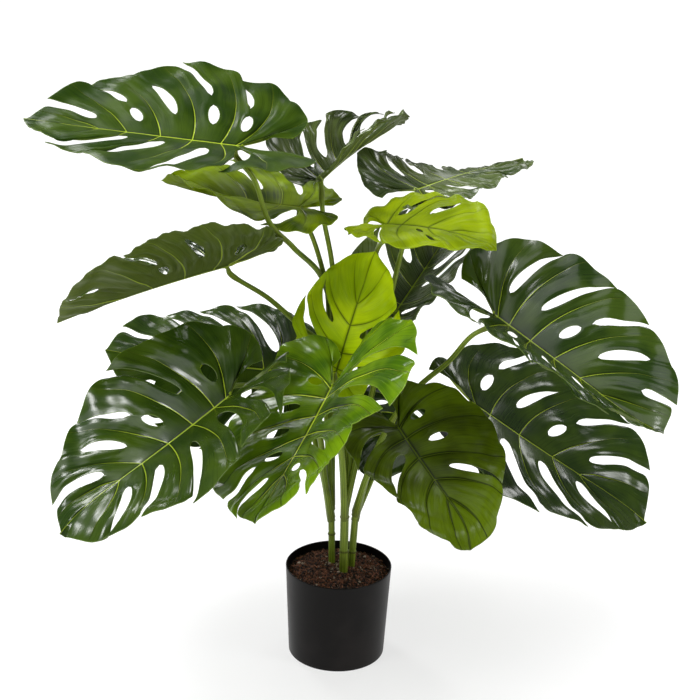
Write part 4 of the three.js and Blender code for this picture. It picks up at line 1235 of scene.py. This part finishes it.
@dataclass
class StemBuilder:
    """Builds one cane with its ring nodes, its stalks and their swollen bases."""

    spec: StemSpec
    pot: PotSizes
    sides: int = 20
    cane_steps: int = 150
    stalk_step: float = 0.004
    clearance: float = 0.0003
    ring: Pair = (0.0011, 0.0016)
    ring_groove: Pair = (0.0003, 0.0015)
    ring_gap: float = 0.004
    crown: float = 0.008
    crown_closing: float = 0.55
    # The cane's width at its foot and what it loses to its top, as parts of its radius.
    cane_taper: Pair = (1.04, 0.1)
    slimming: float = 1.15
    fewest_steps: int = 40
    tip_width: float = 0.3
    root_radius: float = 0.0048
    tip_radius: float = 0.0033
    root_swelling: Pair = (0.22, 0.03)
    root_scar: Pair = (0.5, 0.02)
    knuckle: Pair = (0.0007, 0.011)
    knuckle_scar: Pair = (0.25, 0.012)
    knuckle_place: float = 0.034
    tip_taper: float = 0.026
    # Where the end of a stalk runs, forward along the blade from its joint and below it.
    tip_route: tuple[Pair, ...] = ((0.005, 0.0135), (0.007, 0.0032), (0.022, 0.0014))

    def tube(self, route: Route, steps: Array, radius: Array, scar: Array) -> Part:
        """Sweeps a round section along a route and closes both ends.

        Args:
            route: The centre line.
            steps: Distances along it.
            radius: The radius at each.
            scar: How brown the skin is at each.

        Returns:
            Points, faces and place values.
        """
        centre = route.at(steps)
        direction = np.gradient(centre, axis=0)
        direction /= np.linalg.norm(direction, axis=1, keepdims=True)
        side = np.cross(direction[0], [0.0, 1.0, 0.0])
        around = np.abs(np.linspace(-1, 1, self.sides, endpoint=False))
        points, places = [], []
        for i, towards in enumerate(direction):
            side = side - towards * side.dot(towards)
            side /= np.linalg.norm(side)
            section = circle(self.sides) @ np.array([side, np.cross(towards, side)])
            points.append(centre[i] + radius[i] * section)
            places.append(np.stack([0 * around + steps[i], around, 0 * around + scar[i]], axis=1))
        corners = tuple(range(len(steps) * self.sides))
        faces = bands(len(steps), self.sides) + [corners[:self.sides][::-1], corners[-self.sides:]]
        return np.concatenate(points), faces, np.concatenate(places)

    def cane(self) -> Route:
        """Gives the cane's centre line.

        Returns:
            The route from the bottom of its hole to its top.
        """
        foot = np.array([*self.spec.foot, self.pot.soil_top - self.pot.hole_depth + self.clearance])
        knee = np.array([*self.spec.foot, self.pot.soil_top + self.pot.soil_dome])
        return Route([foot, (foot + knee) / 2, knee, np.array([*self.spec.lean, self.spec.top])])

    def cane_part(self, route: Route) -> Part:
        """Builds the cane with raised rings.

        Args:
            route: Its centre line.

        Returns:
            Points, faces and place values.
        """
        steps = np.linspace(0, route.length, self.cane_steps)
        height = route.at(steps)[:, 2]
        foot_width, loss = self.cane_taper
        radius = self.spec.radius * (foot_width - loss * steps / route.length)
        scar = 0 * steps
        for ring in self.spec.rings:
            above = height - ring - self.ring_gap
            radius = radius + ridge(height - ring, *self.ring) - ridge(above, *self.ring_groove)
            scar = np.maximum(scar, ridge(height - ring, 1, self.ring[1]))
        closing = self.crown_closing * smooth(steps, route.length - self.crown, route.length)
        return self.tube(route, steps, radius * (1 - closing), scar)

    def stalk_part(self, stalk: StalkSpec, cane: Route, leaf: LeafSpec) -> Part:
        """Builds one stalk, wide where it clasps the cane and thin where it runs into the midrib.

        Args:
            stalk: The stalk.
            cane: The cane's centre line.
            leaf: The leaf that it carries.

        Returns:
            Points, faces and place values.
        """
        forward, _, up = leaf.axes()
        ends = [np.array(leaf.joint) + forward * ahead - up * below for ahead, below in self.tip_route]
        route = Route([cane.at_height(stalk.start), *(np.array(p) for p in stalk.through), *ends])
        steps = np.linspace(0, route.length, max(self.fewest_steps, int(route.length / self.stalk_step)))
        left = route.length - steps
        slimmer = (self.tip_radius - self.root_radius) * np.minimum(1, self.slimming * steps / route.length)
        radius = (self.root_radius + slimmer) * (1 + ridge(steps, *self.root_swelling))
        radius = radius + ridge(left - self.knuckle_place, *self.knuckle)
        scar = ridge(steps, *self.root_scar) + ridge(left - self.knuckle_place, *self.knuckle_scar)
        width = self.tip_width + (1 - self.tip_width) * smooth(left, 0.0, self.tip_taper)
        return self.tube(route, steps, radius * width, scar)

    def build(self, leaves: dict[str, LeafSpec]) -> bpy.types.Object:
        """Builds the cane and all its stalks as one mesh.

        Args:
            leaves: The leaves by name.

        Returns:
            The stem's object.
        """
        cane = self.cane()
        stalks = [self.stalk_part(stalk, cane, leaves[stalk.leaf]) for stalk in self.spec.stalks]
        points, faces, places = fuse([self.cane_part(cane), *stalks])
        return mesh_object(self.spec.name + "_cane", points, faces, sharp_deg=70, stem_place=places)


@dataclass
class SoilBuilder:
    """Builds the soil: a low uneven dome strewn with crumbs, with the canes' holes closed round them."""

    pot: PotSizes
    clearance: float = 0.0006
    floor_gap: float = 0.0003
    rings: int = 46
    sides: int = 150
    roughness: float = 0.0007
    even_edge: float = 0.06
    ground_shade: float = 0.6
    crumbs: int = 7600
    crumb_sizes: Pair = (0.0006, 0.002)
    crumb_fineness: float = 2.6
    spin_range: float = 6.28
    crumb_stretch: Pair = (0.6, 1.25)
    crumb_jitter: Pair = (0.75, 1.2)
    crumb_rise: float = 0.35
    palest_brown: float = 0.95
    fibres: float = 0.5
    fibre_stretch: tuple[Triple, Triple] = ((1.2, 0.35, 0.35), (2.4, 0.5, 0.5))
    edge_gap: float = 0.001
    pale_near_canes: float = 0.28
    pale_elsewhere: float = 0.03
    canes_middle: Pair = (0.002, 0.008)
    canes_reach: float = 0.022
    reach_spread: Pair = (0.5, 1.3)
    seed: int = 5

    def inner_radius(self, height: float) -> float:
        """Gives the soil's radius inside the pot at a height over its foot."""
        spread = (self.pot.rim_radius - self.pot.foot_radius) * (height / self.pot.height)
        return self.pot.foot_radius + spread - self.pot.wall - self.clearance

    def surface(self, x: Array, y: Array) -> Array:
        """Gives the height of the soil's uneven top.

        Args:
            x: Places across.
            y: Places in depth.

        Returns:
            Heights over the foot.
        """
        out = np.hypot(x, y) / self.inner_radius(self.pot.soil_top)
        rough = sum(
            strength * math.prod(np.sin(across * x + deep * y + start) for across, deep, start in waves)
            for strength, *waves in SOIL_WAVES)
        rough = self.roughness * rough * np.clip((1 - out) / self.even_edge, 0, 1)
        return self.pot.soil_top + self.pot.soil_dome * (1 - out ** 2) + rough

    def ground(self, rng: np.random.Generator) -> Part:
        """Builds the top, the side and the bottom of the soil.

        Args:
            rng: The source of its shades.

        Returns:
            Points, faces and shades.
        """
        turn = circle(self.sides)
        points = [np.array([[0, 0, self.surface(0, 0)]])]
        for ring in range(1, self.rings + 1):
            x, y = (self.inner_radius(self.pot.soil_top) * ring / self.rings * turn).T
            points.append(np.stack([x, y, self.surface(x, y)], axis=1))
        bottom = self.pot.floor + self.floor_gap
        points.append(np.insert(self.inner_radius(bottom) * turn, 2, bottom, axis=1))
        corners = np.concatenate(points)
        faces = [(0, 1 + k, 1 + (k + 1) % self.sides) for k in range(self.sides)]
        faces += [(face[0], *face[:0:-1]) for face in bands(self.rings + 1, self.sides, first=1)]
        faces.append(tuple(range(len(corners)))[:-self.sides - 1:-1])
        return corners, faces, rng.uniform(0, self.ground_shade, len(corners))

    def crumb(self, rng: np.random.Generator) -> Part:
        """Draws one crumb or fibre and seats it on the surface.

        Args:
            rng: The source of the draws.

        Returns:
            Points, faces and shades.
        """
        corners, faces = CRUMB
        radius = (self.inner_radius(self.pot.soil_top) - self.edge_gap) * math.sqrt(rng.uniform(0, 1))
        angle = rng.uniform(0, TURN)
        x, y = radius * math.cos(angle), radius * math.sin(angle)
        size = self.crumb_sizes[0] + self.crumb_sizes[1] * rng.uniform() ** self.crumb_fineness
        if rng.uniform() < self.fibres:
            stretch = rng.uniform(*self.fibre_stretch) * size
        else:
            stretch = rng.uniform(*self.crumb_stretch, 3) * size
        spin = Matrix.Rotation(rng.uniform(0, self.spin_range), 3, Vector(rng.normal(size=3)).normalized())
        jitter = rng.uniform(*self.crumb_jitter, (len(corners), 1))
        centre = np.array([x, y, self.surface(x, y) + size * self.crumb_rise])
        reach = self.canes_reach * rng.uniform(*self.reach_spread)
        near_canes = math.dist((x, y), self.canes_middle) < reach
        pale = rng.uniform() < (self.pale_near_canes if near_canes else self.pale_elsewhere)
        shade = 1.0 if pale else rng.uniform(0, self.palest_brown)
        points = (corners * jitter * stretch) @ np.array(spin).T + centre
        return points, faces, np.full(len(corners), shade)

    def build(self) -> bpy.types.Object:
        """Strews the ground with crumbs, fused to it.

        Returns:
            The soil's object.
        """
        rng = np.random.default_rng(self.seed)
        ground = self.ground(rng)
        points, faces, shades = fuse([ground, *(self.crumb(rng) for _ in range(self.crumbs))])
        return mesh_object("soil_crumbs", points, faces, sharp_deg=35, crumb_shade=shades)


def crumb_shape() -> tuple[Array, Faces]:
    """Gives the corners and faces of a twenty-sided crumb with a radius of 1.

    Returns:
        The corners, one row each, and the triangles.
    """
    golden = (1 + math.sqrt(5)) / 2
    corners = [(-1, golden, 0), (1, golden, 0), (-1, -golden, 0), (1, -golden, 0),
               (0, -1, golden), (0, 1, golden), (0, -1, -golden), (0, 1, -golden),
               (golden, 0, -1), (golden, 0, 1), (-golden, 0, -1), (-golden, 0, 1)]
    faces = [(0, 11, 5), (0, 5, 1), (0, 1, 7), (0, 7, 10), (0, 10, 11), (1, 5, 9), (5, 11, 4),
             (11, 10, 2), (10, 7, 6), (7, 1, 8), (3, 9, 4), (3, 4, 2), (3, 2, 6), (3, 6, 8),
             (3, 8, 9), (4, 9, 5), (2, 4, 11), (6, 2, 10), (8, 6, 7), (9, 8, 1)]
    return np.array(corners) / math.hypot(1, golden), faces


CRUMB = crumb_shape()


@dataclass
class PotBuilder:
    """Builds the pot: a tapered wall with a softly rounded rim and foot."""

    pot: PotSizes
    rounding: float = 0.0012
    sides: int = 160
    foot_steps: int = 7
    rim_steps: int = 13
    foot_band: float = 0.02
    floor_band: float = 0.004
    # The first and the last ring of a wall, as parts of its height, and how many there are.
    outside_rings: tuple[float, float, int] = (0.05, 0.95, 12)
    inside_rings: tuple[float, float, int] = (0.9, 0.1, 8)

    def profile(self) -> list[Pair]:
        """Follows the section from the centre of the foot round to the centre of the floor.

        Returns:
            Radius and height of each point.
        """
        pot, half = self.pot, self.pot.wall / 2
        inner_foot = pot.foot_radius - pot.wall
        outside = [(pot.foot_radius + (pot.rim_radius - pot.foot_radius) * part, pot.height * part)
                   for part in np.linspace(*self.outside_rings)]
        inside = [(inner_foot + (pot.rim_radius - pot.foot_radius) * part,
                   pot.floor + (pot.height - pot.floor) * part) for part in np.linspace(*self.inside_rings)]
        return [
            (0.0, 0.0), (pot.foot_radius - self.foot_band, 0.0),
            *arc((pot.foot_radius - self.rounding, self.rounding), self.rounding, -90, 0, self.foot_steps),
            *outside,
            *arc((pot.rim_radius - half, pot.height - half), half, 0, 180, self.rim_steps), *inside,
            (inner_foot, pot.floor), (inner_foot - self.floor_band, pot.floor), (0.0, pot.floor)]

    def build(self) -> bpy.types.Object:
        """Turns the section round the pot's axis.

        Returns:
            The pot's object.
        """
        section = self.profile()
        turn = circle(self.sides)
        rings = [np.insert(radius * turn, 2, height, axis=1) for radius, height in section[1:-1]]
        points = np.concatenate([[(0.0, 0.0, section[0][1])], *rings, [(0.0, 0.0, section[-1][1])]])
        last = len(points) - 1
        faces = bands(len(rings), self.sides, first=1)
        for k in range(self.sides):
            n = (k + 1) % self.sides
            faces += [(0, 1 + n, 1 + k), (last, last - self.sides + k, last - self.sides + n)]
        return mesh_object("pot_shell", points, faces, sharp_deg=40)


@dataclass(frozen=True)
class Window:
    """A square soft light that points at the plant's middle: its side in metres, its power in watts."""

    name: str
    place: Triple
    side: float
    power: float


@dataclass(frozen=True)
class Studio:
    """The pale floor, the soft lights and the camera at the viewer's place."""

    camera_place: Triple = (0.006, -1.922, 1.128)
    camera_down: float = 19.26
    camera_roll: float = 1.9
    lens: float = 77.5
    sensor: float = 36
    sight: float = 50
    floor_reach: float = 40.0
    floor_tone: float = 0.3
    floor_roughness: float = 0.9
    floor_glow: Fade = (0.12, 0.8, 0.66, 0.98)
    room_glow: float = 0.14
    aim: Triple = (0, 0, 0.5)
    windows: tuple[Window, ...] = (
        Window("left_window", (-1.7, -1.3, 1.7), 0.7, 36),
        Window("right_window", (1.9, -0.9, 1.5), 0.6, 17),
        Window("overhead", (-0.75, 0.1, 2.35), 0.6, 24),
        Window("back_left_window", (-1.1, 1.5, 1.9), 0.5, 16),
        Window("back_window", (0.15, 2.1, 2.0), 0.5, 3),
        Window("back_right_window", (1.2, 1.7, 1.6), 0.5, 5),
    )
    sky_power: float = 0.9
    sky_spread: float = 50
    sky_tilt: Triple = (12, -14, 0)

    def camera(self) -> None:
        """Makes the scene's camera."""
        data = bpy.data.cameras.new("viewer")
        data.lens = self.lens
        data.sensor_width = self.sensor
        data.clip_end = self.sight
        camera = bpy.data.objects.new("viewer", data)
        bpy.context.collection.objects.link(camera)
        level = math.radians(90 - self.camera_down)
        turn = Matrix.Rotation(level, 4, "X") @ Matrix.Rotation(math.radians(self.camera_roll), 4, "Z")
        camera.matrix_world = Matrix.Translation(self.camera_place) @ turn
        bpy.context.scene.camera = camera

    def floor(self) -> None:
        """Makes the pale floor, which glows more the farther it lies from the pot."""
        corners = np.array([(-1, -1, 0), (1, -1, 0), (1, 1, 0), (-1, 1, 0)]) * self.floor_reach
        piece = mesh_object("floor", corners, [(0, 1, 2, 3)])
        sheet = NodeSheet("floor_pale")
        away = sheet.add("VectorMath", {0: sheet.place()}, operation="LENGTH").outputs["Value"]
        piece.data.materials.append(sheet.finish(
            (self.floor_tone,) * 3, self.floor_roughness, Emission_Color=(1, 1, 1),
            Emission_Strength=sheet.fade(away, *self.floor_glow)))

    def light(self, name: str, kind: str, power: float) -> bpy.types.Object:
        """Adds one light.

        Args:
            name: Its name.
            kind: Its type.
            power: Its power.

        Returns:
            The light's object.
        """
        data = bpy.data.lights.new(name, kind)
        data.energy = power
        lamp = bpy.data.objects.new(name, data)
        bpy.context.collection.objects.link(lamp)
        return lamp

    def lights(self) -> None:
        """Makes the soft lights and a wide pale sun."""
        for window in self.windows:
            lamp = self.light(window.name, "AREA", window.power)
            lamp.data.size = window.side
            lamp.location = window.place
            lamp.rotation_euler = (Vector(self.aim) - lamp.location).to_track_quat("-Z", "Y").to_euler()
        sky = self.light("sky", "SUN", self.sky_power)
        sky.data.angle = math.radians(self.sky_spread)
        sky.rotation_euler = [math.radians(angle) for angle in self.sky_tilt]

    def room(self) -> None:
        """Makes the room: white where it is looked at, and dim as a light."""
        world = bpy.data.worlds.new("studio")
        world.use_nodes = True
        tree = world.node_tree
        dim, white = tree.nodes["Background"], tree.nodes.new("ShaderNodeBackground")
        for node in (dim, white):
            node.inputs["Color"].default_value = (1, 1, 1, 1)
        dim.inputs["Strength"].default_value = self.room_glow
        mix = tree.nodes.new("ShaderNodeMixShader")
        seen = tree.nodes.new("ShaderNodeLightPath").outputs["Is Camera Ray"]
        for source, target in zip((seen, dim.outputs[0], white.outputs[0]), mix.inputs):
            tree.links.new(source, target)
        tree.links.new(mix.outputs[0], tree.nodes["World Output"].inputs["Surface"])
        bpy.context.scene.world = world
        bpy.context.scene.view_settings.view_transform = "Standard"


DARK_LEAF = LeafFinish(
    "leaf_dark_green", deep=(0.014, 0.035, 0.0022), light=(0.036, 0.068, 0.0035), vein=(0.38, 0.5, 0.03),
    shade_and_streak=(0.0035, 0.011, 0.0016), under=(0.08, 0.115, 0.008), edge=(0.09, 0.15, 0.016))
YOUNG_LEAF = LeafFinish(
    "leaf_young_green", deep=(0.13, 0.19, 0.001), light=(0.23, 0.31, 0.0015), vein=(0.03, 0.05, 0.001),
    shade_and_streak=(0.09, 0.14, 0.001), under=(0.15, 0.22, 0.003), edge=(0.3, 0.42, 0.02), shine=0.06, gloss=0.36)
# Painted sheen: the dark leaf's greens, made about twice as light to stand in for the pale sheen these
# leaves show at grazing angles, with more shine.
PAINTED_SHEEN_LEAF = replace(
    DARK_LEAF, name="leaf_painted_sheen_green", deep=(0.03, 0.055, 0.007), light=(0.08, 0.115, 0.02),
    gloss=0.28, shine=0.65)
LEAF_FINISHES = {
    LeafTone.DARK: DARK_LEAF,
    LeafTone.OLIVE: LeafFinish(
        "leaf_olive_green", deep=(0.044, 0.067, 0.0008), light=(0.1, 0.16, 0.0012),
        vein=(0.12, 0.18, 0.005), shade_and_streak=(0.0035, 0.007, 0.0006), under=(0.07, 0.09, 0.008),
        edge=(0.09, 0.14, 0.008), shine=0.16, gloss=0.32, tip_light=0.9, groove_shade_strength=0.95),
    LeafTone.MIDDLE: LeafFinish(
        "leaf_middle_green", deep=(0.045, 0.115, 0.0025), light=(0.15, 0.27, 0.004),
        vein=(0.68, 0.84, 0.05), shade_and_streak=(0.01, 0.036, 0.0015), under=(0.12, 0.18, 0.012),
        edge=(0.25, 0.38, 0.035), tip_light=0.7, groove_shade_strength=0.95, vein_width=0.00095,
        vein_strength=0.95, shine=0.32),
    LeafTone.YOUNG: YOUNG_LEAF,
}
# The leaves whose look or relief differs from that of their tone.
OWN_FINISHES = {
    "leaf_top_left": replace(DARK_LEAF, name="leaf_dark_matt", gloss=0.36, shine=0.06),
    # Partly the young leaf's own bright green, partly painted light: its greens are about twice those of
    # the young finish, to make up for the shade on its face towards the viewer.
    "leaf_young_upright": replace(
        YOUNG_LEAF, name="leaf_bright_green_painted_light", deep=(0.25, 0.39, 0.001), light=(0.46, 0.62, 0.0015),
        shade_and_streak=(0.2, 0.3, 0.001)),
    "leaf_top_middle": PAINTED_SHEEN_LEAF, "leaf_top_right": PAINTED_SHEEN_LEAF, "leaf_back": PAINTED_SHEEN_LEAF,
    "leaf_young_left": replace(
        YOUNG_LEAF, name="leaf_fresh_green", deep=(0.035, 0.066, 0.001), light=(0.2, 0.29, 0.002),
        tip_light=1.0, vein=(0.3, 0.38, 0.02), shade_and_streak=(0.012, 0.03, 0.001)),
}
OWN_RELIEF = {
    "leaf_side_left": {"pleat": 0.0016, "ripple": 0.002},
    "leaf_top_middle": {"pleat": 0.0012, "edge_ripple": 0.003},
    "leaf_top_right": {"pleat": 0.0012, "edge_ripple": 0.003},
}


def main() -> None:
    """Builds the plant in its pot, then the studio round it."""
    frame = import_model()
    LOG.info("frame loaded with %d nodes", len(frame["nodes"]))
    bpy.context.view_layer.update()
    pot = PotSizes()
    seat(PotBuilder(pot).build(), "pot", PotFinish().material())
    seat(SoilBuilder(pot).build(), "soil", SoilFinish().material())
    leaves = {leaf.name: leaf for leaf in LEAVES}
    stem_skin = StemFinish().material()
    for stem in STEMS:
        seat(StemBuilder(stem, pot).build(leaves), stem.name, stem_skin)
    finishes = dict.fromkeys([*LEAF_FINISHES.values(), *OWN_FINISHES.values()])
    skins = {finish: finish.material() for finish in finishes}
    for number, leaf in enumerate(LEAVES):
        skin = skins[OWN_FINISHES.get(leaf.name, LEAF_FINISHES[leaf.tone])]
        blade = Blade(leaf, seed=number + 1, **OWN_RELIEF.get(leaf.name, {}))
        seat(blade.build(), leaf.name, skin)
    studio = Studio()
    studio.camera()
    studio.floor()
    studio.lights()
    studio.room()


if __name__ == "__main__":
    main()
